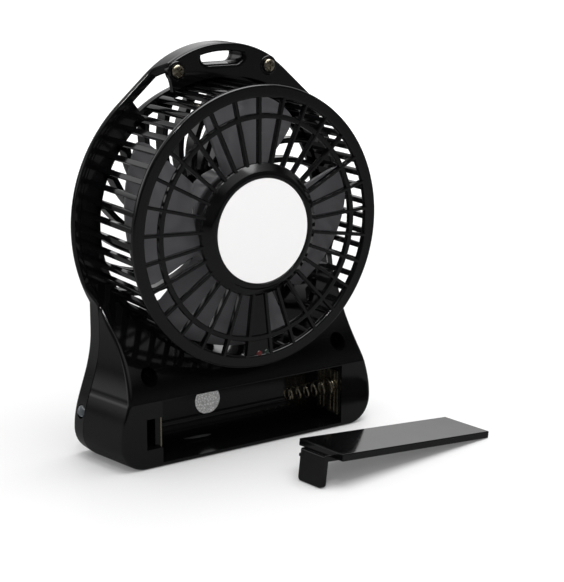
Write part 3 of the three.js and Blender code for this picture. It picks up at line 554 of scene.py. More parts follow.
def carve(bm, cutters, operation="DIFFERENCE"):
    """Takes the cutters out of a closed solid, or keeps only what they share."""
    def as_object(shape, name):
        mesh = bpy.data.meshes.new(name)
        shape.to_mesh(mesh)
        shape.free()
        made = bpy.data.objects.new(name, mesh)
        bpy.context.scene.collection.objects.link(made)
        return made
    body = as_object(bm, "carved")
    tools = [as_object(c, "cutter") for c in cutters]
    for tool in tools:
        step = body.modifiers.new("Cut", "BOOLEAN")
        step.object = tool
        step.operation = operation
        step.solver = "EXACT"
    graph = bpy.context.evaluated_depsgraph_get()
    result = bpy.data.meshes.new_from_object(body.evaluated_get(graph))
    carved = bmesh.new()
    carved.from_mesh(result)
    bpy.data.meshes.remove(result)
    for made in [body] + tools:
        mesh = made.data
        bpy.data.objects.remove(made)
        bpy.data.meshes.remove(mesh)
    if not carved.faces:
        raise RuntimeError("nothing is left after carving")
    return carved


def new_piece(name, bm, body, slot, material, replaces=(), smooth=35):
    """Makes the finished piece: smooth but for its corners, riding on its body."""
    mesh = bpy.data.meshes.new(name)
    bm.to_mesh(mesh)
    bm.free()
    mesh.shade_smooth()
    mesh.set_sharp_from_angle(angle=math.radians(smooth))
    piece = bpy.data.objects.new(name, mesh)
    bpy.context.scene.collection.objects.link(piece)
    mesh.materials.append(material)
    even = piece.modifiers.new("Even shading", "WEIGHTED_NORMAL")
    even.keep_sharp = True
    even.weight = 80
    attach(piece, body)
    if replaces:
        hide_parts(*replaces)
    return piece


# ---- outlines shared by the housings -----------------------------------------------------------

def half_outline(bm, sizes, inset, depth, low=None):
    """The +X side of the housings' outline, from low up to the middle of the handle."""
    waist = sizes.waist_half - inset
    rim = sizes.rim_radius - inset
    join = math.acos(waist / rim)
    tangent = math.asin((sizes.rim_radius - sizes.handle_radius) / sizes.handle_rise)
    handle_z = sizes.fan_height + sizes.handle_rise
    arch = sizes.handle_radius - inset
    if low is None:
        foot = sizes.foot_half - inset
        corner = sizes.foot_corner - inset
        pen = Pen(bm, 0, depth, inset)
        pen.line(foot - corner, inset, 3)
        pen.arc(foot - corner, sizes.foot_corner, 90, 10)
        pen.curve((foot, mm(FLARE_LOW)), (waist, mm(FLARE_HIGH)), (waist, sizes.waist_height),
                  steps=20)
    else:
        pen = Pen(bm, waist, depth, low)
    pen.line(waist, sizes.fan_height - rim * math.sin(join), 2)
    pen.arc(0, sizes.fan_height, math.degrees(join + tangent), 36)
    pen.line(arch * math.cos(tangent), handle_z + arch * math.sin(tangent), 2)
    pen.arc(0, handle_z, 90 - math.degrees(tangent), 18)
    pen.tip.co.x = 0
    return pen.edges()


def outline(bm, sizes, inset, depth):
    """The whole outline as one closed loop."""
    known = set(bm.edges)
    half = half_outline(bm, sizes, inset, depth)
    verts = list({v for e in half for v in e.verts})
    bmesh.ops.mirror(bm, geom=half + verts, merge_dist=mm(0.002), axis="X")
    return [e for e in bm.edges if e not in known]


def circle(bm, x, z, radius, depth, steps):
    pen = Pen(bm, x + radius, depth, z)
    pen.arc(x, z, 360 - 360 / steps, steps - 1)
    pen.close()
    return pen.edges()


def stadium(bm, sizes, grow, depth):
    """The hanging slot's outline."""
    half = (sizes.slot_length - sizes.slot_height) / 2
    radius = sizes.slot_height / 2 + grow
    z = sizes.fan_height + sizes.handle_rise + sizes.handle_radius - sizes.slot_inset
    shift = sizes.slot_shift
    pen = Pen(bm, half + shift, depth, z - radius)
    pen.arc(half + shift, z, 180, 12)
    pen.line(-half + shift, z + radius)
    pen.arc(-half + shift, z, 180, 12)
    pen.close()
    return pen.edges()


def outline_reach(sizes, angle, inset):
    """From the fan's axis to the housings' outline in its upper part, less an inset."""
    tangent = math.asin((sizes.rim_radius - sizes.handle_radius) / sizes.handle_rise)
    arch = sizes.handle_radius - inset
    if angle < math.atan2(sizes.handle_rise + arch * math.sin(tangent), arch * math.cos(tangent)):
        return (sizes.rim_radius - inset) / math.cos(max(0.0, angle - tangent))
    rise = sizes.handle_rise * math.sin(angle)
    return rise + math.sqrt(rise ** 2 - sizes.handle_rise ** 2 + arch ** 2)


def window_outline(bm, sizes, side, grow, depth):
    """One of the two openings beside the handle, between the drum and the rim."""
    inner = sizes.drum_radius + mm(0.3) - grow
    low = math.radians(WINDOW_LOW) - grow / inner
    high = math.radians(WINDOW_HIGH) + grow / inner
    steps = 6
    pen = Pen(bm, side * inner * math.cos(low), depth, sizes.fan_height + inner * math.sin(low))
    for i in range(steps + 1):
        angle = low + (high - low) * i / steps
        reach = outline_reach(sizes, angle, sizes.hoop_width + mm(0.2)) + grow
        pen.line(side * reach * math.cos(angle), sizes.fan_height + reach * math.sin(angle))
    pen.line(side * inner * math.cos(high), sizes.fan_height + inner * math.sin(high))
    pen.arc(0, sizes.fan_height, -side * math.degrees(high - low), 7)
    bmesh.ops.remove_doubles(bm, verts=[pen.tip, pen.first], dist=mm(0.5))
    return [e for e in bm.edges if e not in pen.known]


def wall_loops(bm, draw, stations):
    """Skins one outline, drawn at each (growth, depth) station; gives both end loops."""
    loops = [draw(bm, mm(grow), mm(depth)) for grow, depth in stations]
    skin(bm, loops)
    return loops[0], loops[-1]


def capped(draw, stations):
    """A closed solid that skins one outline at several (growth, depth) stations."""
    bm = bmesh.new()
    near, far = wall_loops(bm, draw, stations)
    fill_face(bm, near, (0, -1, 0))
    fill_face(bm, far, (0, 1, 0))
    merge_and_face_out(bm)
    return bm


def quarter_round(radius, steps):
    """(inward, backward) steps of a quarter circle, in millimetres."""
    turns = [math.pi / 2 * i / steps for i in range(steps + 1)]
    return [(radius * (1 - math.cos(t)), radius * (1 - math.sin(t))) for t in turns]


def fill_face(bm, edges, out):
    bmesh.ops.triangle_fill(bm, use_beauty=True, use_dissolve=False, edges=edges, normal=out)


# ---- rear housing ------------------------------------------------------------------------------

def slope_depth(sizes, z):
    share = max(0.0, (z - sizes.ridge_height) / sizes.slope_height)
    return sizes.foot_rear - sizes.slope_run * share ** 1.2


def rim_rear(sizes, place):
    """Depth of the rim's rear edge: down the foot's slope, along the hoop and up to the handle."""
    if place.z < sizes.fan_height:
        return max(sizes.hoop_rear, slope_depth(sizes, place.z))
    turn = math.degrees(math.atan2(place.z - sizes.fan_height, abs(place.x)))
    begin, end = (HOOP_END, HANDLE_START) if place.x > 0 else (FAR_HOOP_END, FAR_HANDLE_START)
    share = min(1.0, max(0.0, (turn - begin) / (end - begin)))
    return sizes.hoop_rear + (sizes.handle_rear - sizes.hoop_rear) * share * share * (3 - 2 * share)


def skirt_rear(sizes, place):
    """Depth of the front housing's rear edge, which stays in front of the rim's rounding."""
    return min(sizes.seam, rim_rear(sizes, place) - sizes.rim_round)


def foot_chain(bm, sizes, inset, back, front=False):
    """The foot's side from its middle underneath to its top, lying in its sloped rear surface."""
    foot = sizes.foot_half - inset
    corner = sizes.foot_corner - inset
    waist = sizes.waist_half - inset
    seam = sizes.seam + sizes.seam_gap
    pen = Pen(bm, 0, 0, inset)
    pen.line(foot - corner, inset, 1)
    pen.arc(foot - corner, sizes.foot_corner, 90, 12)
    pen.curve((foot, mm(FLARE_LOW)), (waist, mm(FLARE_HIGH)), (waist, sizes.waist_height), steps=40)
    pen.line(waist, mm(SIDE_TOP), 10)
    edges = pen.edges()
    verts = {v for e in edges for v in e.verts}
    ridge = min(verts, key=lambda v: abs(v.co.z - sizes.ridge_height))
    ridge.co.z = sizes.ridge_height
    for v in verts:
        v.co.y = seam if front else max(seam, slope_depth(sizes, v.co.z) - back)
        # the draft fades out where the side runs into the rim
        fade = min(1.0, max(0.0, (mm(DRAFT_TOP) - v.co.z) / mm(DRAFT_FADE)))
        share = (v.co.y - seam) / (sizes.foot_rear - seam) * fade * fade * (3 - 2 * fade)
        v.co.x *= 1 - sizes.foot_taper / sizes.foot_half * share
    return edges


def foot_block(sizes):
    """The flared foot with its rounded rear edges and sloped back, before anything is cut."""
    bm = bmesh.new()
    radius = sizes.foot_round
    chains = [foot_chain(bm, sizes, 0, 0, front=True)]
    for inward, back in quarter_round(radius * 1000, 4):
        chains.append(foot_chain(bm, sizes, mm(inward), mm(back)))
    skin(bm, chains)
    made = bmesh.ops.extrude_edge_only(bm, edges=chains[-1])
    for v in made["geom"]:
        if isinstance(v, bmesh.types.BMVert):
            v.co.x = 0
    mirror_across(bm)
    bmesh.ops.holes_fill(bm, edges=boundary(bm), sides=0)
    merge_and_face_out(bm)
    return bm


def bay_cutter(sizes):
    """The trough of the battery bay, its cradle rounded along the lower far edge."""
    bm = bmesh.new()
    mouth = sizes.foot_rear + mm(1)
    pen = Pen(bm, mouth, 0, sizes.bay_floor)
    pen.line(mouth, sizes.bay_top)
    pen.line(sizes.bay_far, sizes.bay_top)
    pen.line(sizes.bay_far, sizes.bay_floor + sizes.bay_cradle)
    pen.arc(sizes.bay_far + sizes.bay_cradle, sizes.bay_floor + sizes.bay_cradle, 90, 10)
    pen.close()
    return bar_along_x(bm, pen.edges(), sizes.bay_right, sizes.bay_left)


def bore(radius, front, rear, steps, x=0.0, z=None):
    """A plain round cutter along Y; its radius and ends are in millimetres."""
    return lathe([(0, front), (radius, front), (radius, rear), (0, rear)], x, z, steps)


def drum_cutter():
    return bore(DRUM_SEAT, -15, 20, 220)


def waist_web(sizes, side):
    """The slope's upper end between rim and drum, which runs down to the wall inside the rim."""
    bm = bmesh.new()
    bmesh.ops.create_grid(bm, x_segments=1, y_segments=14, size=0.5)
    for v in bm.verts:
        z = mm(WEB_LOW + (WEB_HIGH - WEB_LOW) * (v.co.y + 0.5))
        drop = min(0.0, z - sizes.fan_height)
        edge = min(sizes.waist_half, math.sqrt(sizes.rim_radius ** 2 - drop ** 2)) - mm(1.2)
        x = mm(WEB_INSIDE) + (edge - mm(WEB_INSIDE)) * (v.co.x + 0.5)
        v.co = (side * x, slope_depth(sizes, z) - mm(0.05), z)
    grown = bmesh.ops.extrude_face_region(bm, geom=list(bm.faces))
    for g in grown["geom"]:
        if isinstance(g, bmesh.types.BMVert):
            g.co.y = sizes.plate_front
    bmesh.ops.recalc_face_normals(bm, faces=bm.faces)
    return bm


def foot_shell(sizes):
    """The foot with its drum seat, battery bay, latch slot and screw wells."""
    rear = sizes.foot_rear
    low, high = mm(LATCH_LOW), mm(LATCH_HIGH)
    near, past = sizes.bay_left + mm(LATCH_WALL), rear + mm(1)
    cutters = [
        drum_cutter(),
        bay_cutter(sizes),
        block((near, rear - mm(LATCH_DEPTH), low), (near + mm(LATCH_WIDTH), past, high)),
        block((sizes.bay_left - mm(1), rear - mm(1.9), low), (near + mm(1), past, high)),
    ]
    for side in (-1, 1):
        cutters.append(bore(FOOT_WELL, -2, 16, 40, side * mm(FOOT_SCREW_SIDE),
                            mm(FOOT_SCREW_HEIGHT)))
    foot = carve(foot_block(sizes), cutters)
    # a low bead where the cradle runs out into the far wall
    crease = sizes.bay_floor + sizes.bay_cradle + mm(0.3)
    add_to(foot, block((sizes.bay_right - mm(0.5), sizes.bay_far - mm(0.3), crease - mm(0.3)),
                       (sizes.bay_left + mm(0.5), sizes.bay_far + mm(0.3), crease + mm(0.3)),
                       mm(0.25), 3))
    return add_to(foot, *[carve(waist_web(sizes, side), [drum_cutter()]) for side in (-1, 1)])


def rim_lip(sizes):
    """The rim: a shallow hoop beside the drum that runs into the foot and round the handle."""
    bm = bmesh.new()
    width, rear, front = (v * 1000 for v in (sizes.hoop_width, sizes.hoop_rear, sizes.plate_front))
    seam = rear - (sizes.rim_round - sizes.seam_gap) * 1000
    stations = [(0.15, seam, skirt_rear), (0, seam + 0.15, skirt_rear)]
    stations += [(i, rear - b, rim_rear) for i, b in quarter_round(0.7, 4)]
    stations += [(width - i, rear - b, rim_rear) for i, b in reversed(quarter_round(0.6, 4))]
    stations += [(width, front, None), (1.9, front, None), (1.9, seam, skirt_rear)]
    chains = []
    for inset, depth, follows in stations:
        chain = half_outline(bm, sizes, mm(inset), mm(depth), low=mm(LIP_LOW))
        level = sizes.hoop_rear - (sizes.rim_round if follows is skirt_rear else 0)
        for v in {v for e in chain for v in e.verts}:
            v.co.y += follows(sizes, v.co) - level if follows else 0
        chains.append(chain)
    skin(bm, chains + chains[:1])
    mirror_across(bm)
    bmesh.ops.holes_fill(bm, edges=boundary(bm), sides=0)
    merge_and_face_out(bm)
    return bm


def inner_plate(sizes):
    """The wall between the hoop and the drum, open at the near window."""
    bm = bmesh.new()
    low = mm(PLATE_LOW)
    reach = sizes.drum_radius - mm(1.2)
    angle = math.asin((low - sizes.fan_height) / reach)
    for depth, out in ((sizes.plate_front + sizes.plate_wall, 1), (sizes.plate_front, -1)):
        known = set(bm.edges)
        half_outline(bm, sizes, sizes.hoop_width - mm(0.1), depth, low=low)
        outer_tip = max((v for v in bm.verts if abs(v.co.y - depth) < mm(0.01)),
                        key=lambda v: v.co.z)
        start = max((v for v in bm.verts if abs(v.co.y - depth) < mm(0.01)
                     and abs(v.co.z - low) < mm(0.01)), key=lambda v: v.co.x)
        pen = Pen(bm, reach * math.cos(angle), depth, low)
        bm.edges.new((start, pen.first))
        pen.arc(0, sizes.fan_height, 90 - math.degrees(angle), 60)
        pen.tip.co.x = 0
        bm.edges.new((pen.tip, outer_tip))
        window_outline(bm, sizes, 1, 0, depth)
        fill_face(bm, [e for e in bm.edges if e not in known], (0, out, 0))
    loops = boundary(bm)
    rims = [e for e in loops if abs(e.verts[0].co.x) + abs(e.verts[1].co.x) > mm(0.01)]
    bmesh.ops.bridge_loops(bm, edges=[e for e in rims if is_window_edge(sizes, e)])
    bmesh.ops.bridge_loops(bm, edges=[e for e in rims if not is_window_edge(sizes, e)])
    mirror_across(bm)
    # the far window is blind: a cover lies behind its opening in the front housing
    front = sizes.plate_front * 1000
    cover = capped(lambda bm, g, y: window_outline(bm, sizes, -1, mm(0.4) + g, y),
                   [(0, front + 0.1), (0, front + sizes.plate_wall * 1000 - 0.1)])
    return add_to(carve(bm, [slot_cutter(sizes, 0)]), cover)


def is_window_edge(sizes, edge):
    """True for an edge that lies well inside the band between the drum and the hoop."""
    place = (edge.verts[0].co + edge.verts[1].co) / 2
    reach = math.hypot(place.x, place.z - sizes.fan_height)
    angle = math.atan2(place.z - sizes.fan_height, place.x)
    if not WINDOW_LOW - 0.5 < math.degrees(angle) < WINDOW_HIGH + 0.5:
        return False
    limit = outline_reach(sizes, angle, sizes.hoop_width + mm(0.05))
    return sizes.drum_radius - mm(0.5) < reach < limit


def slot_cutter(sizes, rounding):
    """What is taken out for the hanging slot, flared at its rear mouth."""
    rear = sizes.handle_rear * 1000
    mouth = [(grow, rear - back) for grow, back in quarter_round(rounding, 5)] if rounding else []
    return capped(lambda bm, g, y: stadium(bm, sizes, g, y),
                  [(0, -18)] + mouth + [(rounding, rear + 1)])


def handle_outline(bm, sizes, depth):
    """The handle's rear face: a rounded lobe at one end, run down to the drum at the other."""
    fan_z, handle_z = sizes.fan_height, sizes.fan_height + sizes.handle_rise
    inner = sizes.drum_radius + mm(1.3)
    arch = sizes.handle_radius - mm(0.75)
    lobe = sizes.lobe_radius
    seat_x, seat_z = top_seat(1)
    foot_x = seat_x + mm(1.6)
    start = math.acos(foot_x / inner)
    pen = Pen(bm, foot_x, depth, fan_z + inner * math.sin(start))
    low = math.radians(-50)
    pen.line(seat_x + lobe * math.cos(low), seat_z + lobe * math.sin(low))
    pen.arc(seat_x, seat_z, 55, 8)
    begin = math.degrees(math.atan2(pen.tip.co.z - handle_z, pen.tip.co.x))
    tangent = math.degrees(math.asin((sizes.rim_radius - sizes.handle_radius) / sizes.handle_rise))
    pen.line(arch * math.cos(math.radians(begin)), handle_z + arch * math.sin(math.radians(begin)))
    pen.arc(0, handle_z, 180 - tangent - begin, 26)
    end = math.radians(FAR_HANDLE_START)
    reach = outline_reach(sizes, end, mm(0.75))
    pen.line(-reach * math.cos(end), fan_z + reach * math.sin(end), 3)
    pen.line(-inner * math.cos(end), fan_z + inner * math.sin(end))
    pen.arc(0, fan_z, -(180 - math.degrees(end) - math.degrees(start)), 30)
    bmesh.ops.remove_doubles(bm, verts=[pen.tip, pen.first], dist=mm(0.3))
    return [e for e in bm.edges if e not in pen.known]


def top_seat(side):
    """Where a screw sits in the handle."""
    place = middle("top_screw_left")
    return side * abs(place.x), place.z


def core_outline(bm, sizes, depth):
    """The thick middle of the handle, between the drum and the handle's arc."""
    fan_z, handle_z = sizes.fan_height, sizes.fan_height + sizes.handle_rise
    half, inner = sizes.handle_core, sizes.drum_radius + mm(1.3)
    arch = sizes.handle_radius - mm(1.4)
    low, high = math.acos(half / inner), math.acos(half / arch)
    pen = Pen(bm, half, depth, fan_z + inner * math.sin(low))
    pen.line(half, handle_z + arch * math.sin(high))
    pen.arc(0, handle_z, 180 - 2 * math.degrees(high), 16)
    pen.line(-half, fan_z + inner * math.sin(low))
    pen.arc(0, fan_z, -(180 - 2 * math.degrees(low)), 16)
    bmesh.ops.remove_doubles(bm, verts=[pen.tip, pen.first], dist=mm(0.1))
    return [e for e in bm.edges if e not in pen.known]


def handle_panel(sizes):
    """The handle: its rear face, the thick middle with the hanging slot and the screws' seats."""
    rear, wall = sizes.handle_rear * 1000, sizes.handle_wall * 1000
    face = capped(lambda bm, g, y: handle_outline(bm, sizes, y),
                  [(0, rear - wall), (0, rear + 0.05)])
    for v in face.verts:
        # past the window the face comes forward to meet the shallow hoop
        if v.co.x < 0:
            v.co.y += min(0.0, rim_rear(sizes, v.co) - sizes.handle_rear)
    core = capped(lambda bm, g, y: core_outline(bm, sizes, y),
                  [(0, sizes.plate_front * 1000), (0, rear - 0.1)])
    shape, inside = (carve(solid, [slot_cutter(sizes, sizes.slot_mouth * 1000)])
                     for solid in (face, core))
    add_to(shape, inside)
    for side in (-1, 1):
        x, z = top_seat(side)
        seat = [(3.65, rear - 0.4), (3.4, rear + 0.18), (2.9, rear + 0.42), (2.55, rear + 0.3),
                (2.55, rear - 1)]
        add_to(shape, lathe(seat, x, z, steps=56, rounding=0.2, closed=True))
    return shape


def slat_ring(sizes):
    """All the slats of the drum, each an eased bar along Y."""
    outer, width = sizes.drum_radius, sizes.slat_width
    z = sizes.fan_height
    slat = block((-width / 2, sizes.plate_front + mm(0.4), z + outer - sizes.drum_wall),
                 (width / 2, sizes.slat_rear + mm(0.4), z + outer), mm(0.32))
    return repeat_round(slat, z, sizes.slat_count)


def drum_collar(sizes):
    """The solid part of the drum's wall, which stands a little out of the foot's slope."""
    rear = sizes.slat_rear * 1000 + 0.1
    front, outside = sizes.plate_front * 1000, sizes.drum_radius * 1000 - 0.05
    band = lathe([(DRUM_BORE, front), (outside, front), (outside, rear), (DRUM_BORE, rear)],
                 steps=220, closed=True)
    keep = bmesh.new()
    pen = Pen(keep, mm(-20), 0, mm(20))
    pen.line(sizes.foot_rear, mm(20))
    for i in range(17):
        z = sizes.ridge_height + mm(34) * i / 16
        pen.line(min(slope_depth(sizes, z) + mm(1.2), sizes.slat_rear), z)
    pen.line(mm(-20), sizes.ridge_height + mm(34))
    pen.close()
    return carve(band, [bar_along_x(keep, pen.edges(), mm(-60), mm(60))], "INTERSECT")


def rear_ring(sizes):
    """The ring round the rear grille, rounded outside and stepped down to the slats."""
    outer = sizes.ring_radius * 1000
    inner = outer - sizes.ring_width * 1000
    rear, slats = sizes.grille_rear * 1000, sizes.slat_rear * 1000
    wall = (sizes.drum_radius - sizes.drum_wall) * 1000
    profile = [(wall, slats), (sizes.drum_radius * 1000, slats), (outer, slats + 1.3),
               (outer, rear), (inner, rear), (inner, slats + 0.9)]
    return lathe(profile, steps=200, rounding=0.95, segments=4, closed=True)


def grille_bars(sizes):
    """The spokes, the ring across them and the channel that leads the wires down."""
    z = sizes.fan_height
    rear, depth = sizes.grille_rear, sizes.grille_depth
    inner = sizes.hub_foot - mm(1)
    outer = sizes.ring_radius - sizes.ring_width + mm(1)
    bars = block((-sizes.spoke_width / 2, rear - depth, z + inner),
                 (sizes.spoke_width / 2, rear, z + outer), mm(0.3))
    repeat_round(bars, z, sizes.spoke_count)
    half = sizes.middle_width * 500
    ring = sizes.middle_ring * 1000
    near, far = (rear - depth) * 1000 + 0.1, rear * 1000 - 0.05
    band = lathe([(ring - half, near), (ring + half, near), (ring + half, far), (ring - half, far)],
                 steps=160, rounding=0.35, segments=2, closed=True)
    channel = bmesh.new()
    half_angle = math.pi / sizes.spoke_count
    corners = [(inner, -half_angle), (outer, -half_angle), (outer, half_angle), (inner, half_angle)]
    verts = [channel.verts.new((r * math.sin(a), rear - depth, z - r * math.cos(a)))
             for r, a in corners]
    pull(channel, [channel.faces.new(verts)], (0, depth - mm(0.7), 0))
    return add_to(bars, band, channel)


def hub_cone(sizes):
    """The cone in the middle of the rear grille, the label's seat and the motor's cup."""
    rear = sizes.hub_rear * 1000
    foot, top, seat = sizes.hub_foot * 1000, sizes.hub_top * 1000, sizes.label_seat * 1000
    face = sizes.grille_rear * 1000
    back = CUP_REAR - 1
    outside = [(CUP_OUTSIDE, CUP_FRONT), (CUP_OUTSIDE, back), (foot, back), (foot, face - 0.5),
               (top + 1, rear - 0.35), (top, rear), (seat, rear), (seat, rear - 0.5),
               (0, rear - 0.5)]
    inside = [(0, CUP_REAR), (CUP_INSIDE, CUP_REAR), (CUP_INSIDE, CUP_FRONT),
              (CUP_OUTSIDE, CUP_FRONT)]
    shell = lathe(outside, z=sizes.fan_height - mm(HUB_DROP), steps=128, rounding=0.3)
    return add_to(shell, lathe(inside, steps=96))


# ---- front housing -----------------------------------------------------------------------------

def front_shell(sizes):
    """The front housing: its rounded face with all its openings, and the skirt behind it."""
    bm = bmesh.new()
    face, inner = sizes.front_face * 1000, sizes.front_face * 1000 + FACE_WALL
    radius, seam, wall = sizes.front_round * 1000, sizes.seam * 1000, sizes.skirt_wall * 1000
    rounding = [(i, face + b) for i, b in reversed(quarter_round(radius, 6))]
    stations = rounding + [(0, seam - 0.2), (0.2, seam), (wall, seam), (wall, inner)]
    first, last = wall_loops(bm, lambda bm, i, y: outline(bm, sizes, i, y), stations)
    for v in bm.verts:
        if v.co.y > sizes.seam - mm(0.25):
            v.co.y += skirt_rear(sizes, v.co) - sizes.seam
    front, back = list(first), list(last)

    def opening(draw, eased):
        near, far = wall_loops(bm, draw, [(eased, face), (eased * 0.3, face + eased * 0.3),
                                          (0, face + eased), (0, inner)])
        front.extend(near)
        back.extend(far)

    opening(lambda bm, g, y: circle(bm, 0, sizes.fan_height, mm(DRUM_BORE) + g, y, 160), 0.8)
    opening(lambda bm, g, y: circle(bm, 0, mm(BUTTON_HEIGHT), mm(BUTTON_HOLE) + g, y, 48), 0.3)
    opening(lambda bm, g, y: stadium(bm, sizes, g, y), 0.8)
    for side in (-1, 1):
        opening(lambda bm, g, y: window_outline(bm, sizes, side, g, y), 0.3)
    fill_face(bm, front, (0, -1, 0))
    fill_face(bm, back, (0, 1, 0))
    merge_and_face_out(bm)
    lamp = laid_along_x(bore(LAMP_HOLE, 30, 60, 32, z=0), (0, mm(LAMP_DEPTH), mm(LAMP_HEIGHT)))
    socket = block(*(tuple(map(mm, corner)) for corner in (SOCKET_LOW, SOCKET_HIGH)), mm(0.4), 3)
    return carve(bm, [lamp, socket])


def swept_rib(sizes, front, rear):
    """A rib that leaves the cap and sweeps round on its way to the rim."""
    start = sizes.cap_radius - mm(1)
    reach = sizes.rim_inner + mm(0.8) - start
    bm = bmesh.new()
    bmesh.ops.create_grid(bm, x_segments=10, y_segments=1, size=0.5)
    for v in bm.verts:
        radius = start + reach * (v.co.x + 0.5)
        slant = radius * 1000 * math.radians(sizes.rib_sweep)
        half_width = sizes.rib_width / 2 * math.hypot(1, slant)
        out = (radius - sizes.cap_radius) * 1000
        turn = sizes.rib_phase + math.radians(sizes.rib_sweep * out)
        turn += v.co.y * 2 * half_width / radius
        v.co = (radius * math.cos(turn), rear, sizes.fan_height + radius * math.sin(turn))
    pull(bm, list(bm.faces), (0, front - rear, 0))
    ease_edges(bm, mm(0.4), 2, least=50)
    return bm


def front_grille(sizes):
    """The raised rim, the swept ribs and the domed cap over the blades, seen from the front."""
    cap_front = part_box("front_housing")[0].y * 1000
    rim = cap_front + sizes.cap_crown * 1000
    cap, wall = sizes.cap_radius * 1000, sizes.cap_wall * 1000
    inner, outer = sizes.rim_inner * 1000, sizes.rim_outer * 1000
    rib_front, rib_rear = mm(rim + 0.2), mm(rim) + sizes.rib_depth
    shape = lathe([(0, cap_front), (cap * 0.6, cap_front + 0.35), (cap * 0.9, cap_front + 1.0),
                   (cap, rim + 0.5), (cap, rim + wall), (0, rim + wall)], steps=96, rounding=0.6)
    plate = sizes.plate_front * 1000
    add_to(shape, lathe([(inner, plate), (inner, rim), (outer - 0.8, rim),
                         (outer, min(rim + 1.5, plate - 0.6)), (outer, plate)],
                        steps=180, rounding=0.4, segments=3, closed=True))
    return add_to(shape, repeat_round(swept_rib(sizes, rib_front, rib_rear), sizes.fan_height,
                                      sizes.rib_count))


def screw_posts():
    """Posts inside the front housing that take the foot's screws."""
    shape = bmesh.new()
    for side in (-1, 1):
        add_to(shape, lathe([(0, -14.2), (3, -14.2), (3, -7.5), (1.2, -7.5), (1.2, -14)],
                            side * mm(FOOT_SCREW_SIDE), mm(FOOT_SCREW_HEIGHT), steps=28,
                            rounding=0.2, segments=2))
    return shape


# ---- impeller ----------------------------------------------------------------------------------

def blade(sizes):
    """One twisted blade, bent out of a flat sheet."""
    bm = bmesh.new()
    bmesh.ops.create_grid(bm, x_segments=12, y_segments=20, size=0.5)
    root = sizes.impeller_hub - mm(0.75)
    for v in bm.verts:
        along, across = v.co.x + 0.5, v.co.y * 2
        radius = root + (sizes.blade_tip - mm(0.3) - root) * along
        rounding = 1 - 0.1 * max(0.0, (along - 0.7) / 0.3) ** 3
        angle = sizes.blade_first + across * sizes.blade_span * rounding
        rise = sizes.blade_rise + sizes.blade_twist * along
        depth = sizes.blade_middle - across * rise / 2 + sizes.blade_belly * (1 - across ** 2)
        v.co = (radius * math.cos(angle), depth, sizes.fan_height + radius * math.sin(angle))
    bmesh.ops.recalc_face_normals(bm, faces=bm.faces)
    bmesh.ops.solidify(bm, geom=bm.faces, thickness=sizes.blade_wall)
    bmesh.ops.recalc_face_normals(bm, faces=bm.faces)
    ease_edges(bm, mm(0.45), 3, least=50)
    return bm


def impeller_shape(sizes):
    """Cup hub and four blades."""
    hub = sizes.impeller_hub * 1000
    profile = [(0, -9.5), (hub * 0.65, -9.2), (hub - 1.5, -7.7), (hub, -5.7), (hub, 3.6),
               (hub - 1.5, 3.6), (hub - 1.5, -5.6), (hub * 0.65, -7.4), (3.35, -7.6), (3.35, 2.0),
               (1.15, 2.0), (1.15, -6.5), (0, -6.5)]
    shape = lathe(profile, steps=112, rounding=0.5)
    return add_to(shape, repeat_round(blade(sizes), sizes.fan_height, 4))


# ---- small pieces ------------------------------------------------------------------------------

def screw_shape(x, z, seat, tip):
    """A pan head screw with a cross recess; sizes in millimetres."""
    top = seat + SCREW_HEAD
    head = lathe([(0, tip), (1.1, tip), (1.1, seat + 0.3), (2.3, seat + 0.3), (2.3, top - 0.55),
                  (1.55, top - 0.08), (0, top)], x=mm(x), z=mm(z), steps=40, rounding=0.22)
    # driven screws stop at different angles, so the cross turns with the screw's place
    stop = math.radians(20 + x)
    arms = []
    for turn in (stop, stop + math.pi / 2):
        arm = block((mm(-1.45), mm(top - 0.75), mm(-0.3)), (mm(1.45), mm(top + 0.5), mm(0.3)))
        bmesh.ops.rotate(arm, verts=arm.verts, cent=(0, 0, 0),
                         matrix=Matrix.Rotation(turn, 3, "Y"))
        bmesh.ops.translate(arm, vec=(mm(x), 0, mm(z)), verts=arm.verts)
        arms.append(arm)
    return carve(head, arms)


def lamp_shape(x, z, tip):
    """A 3 mm lamp whose domed end looks out of the grille."""
    return lathe([(0, tip - 3.4), (1.3, tip - 3.4), (1.3, tip - 0.9), (1.05, tip - 0.35),
                  (0.55, tip - 0.06), (0, tip)], x=mm(x), z=mm(z), steps=28, rounding=0.15)


def side_lamp_shape():
    """The clear lamp, lying along X in the foot's side."""
    base, tip = (corner.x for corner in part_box("side_lamp"))
    place = middle("side_lamp")
    long = (tip - base) * 1000
    shape = lathe([(0, 0), (2.3, 0), (2.3, long - 2.3), (2.15, long - 1.5), (1.75, long - 0.75),
                   (1.0, long - 0.18), (0, long)], x=0, z=0, steps=36)
    return laid_along_x(shape, (base, place.y, place.z))


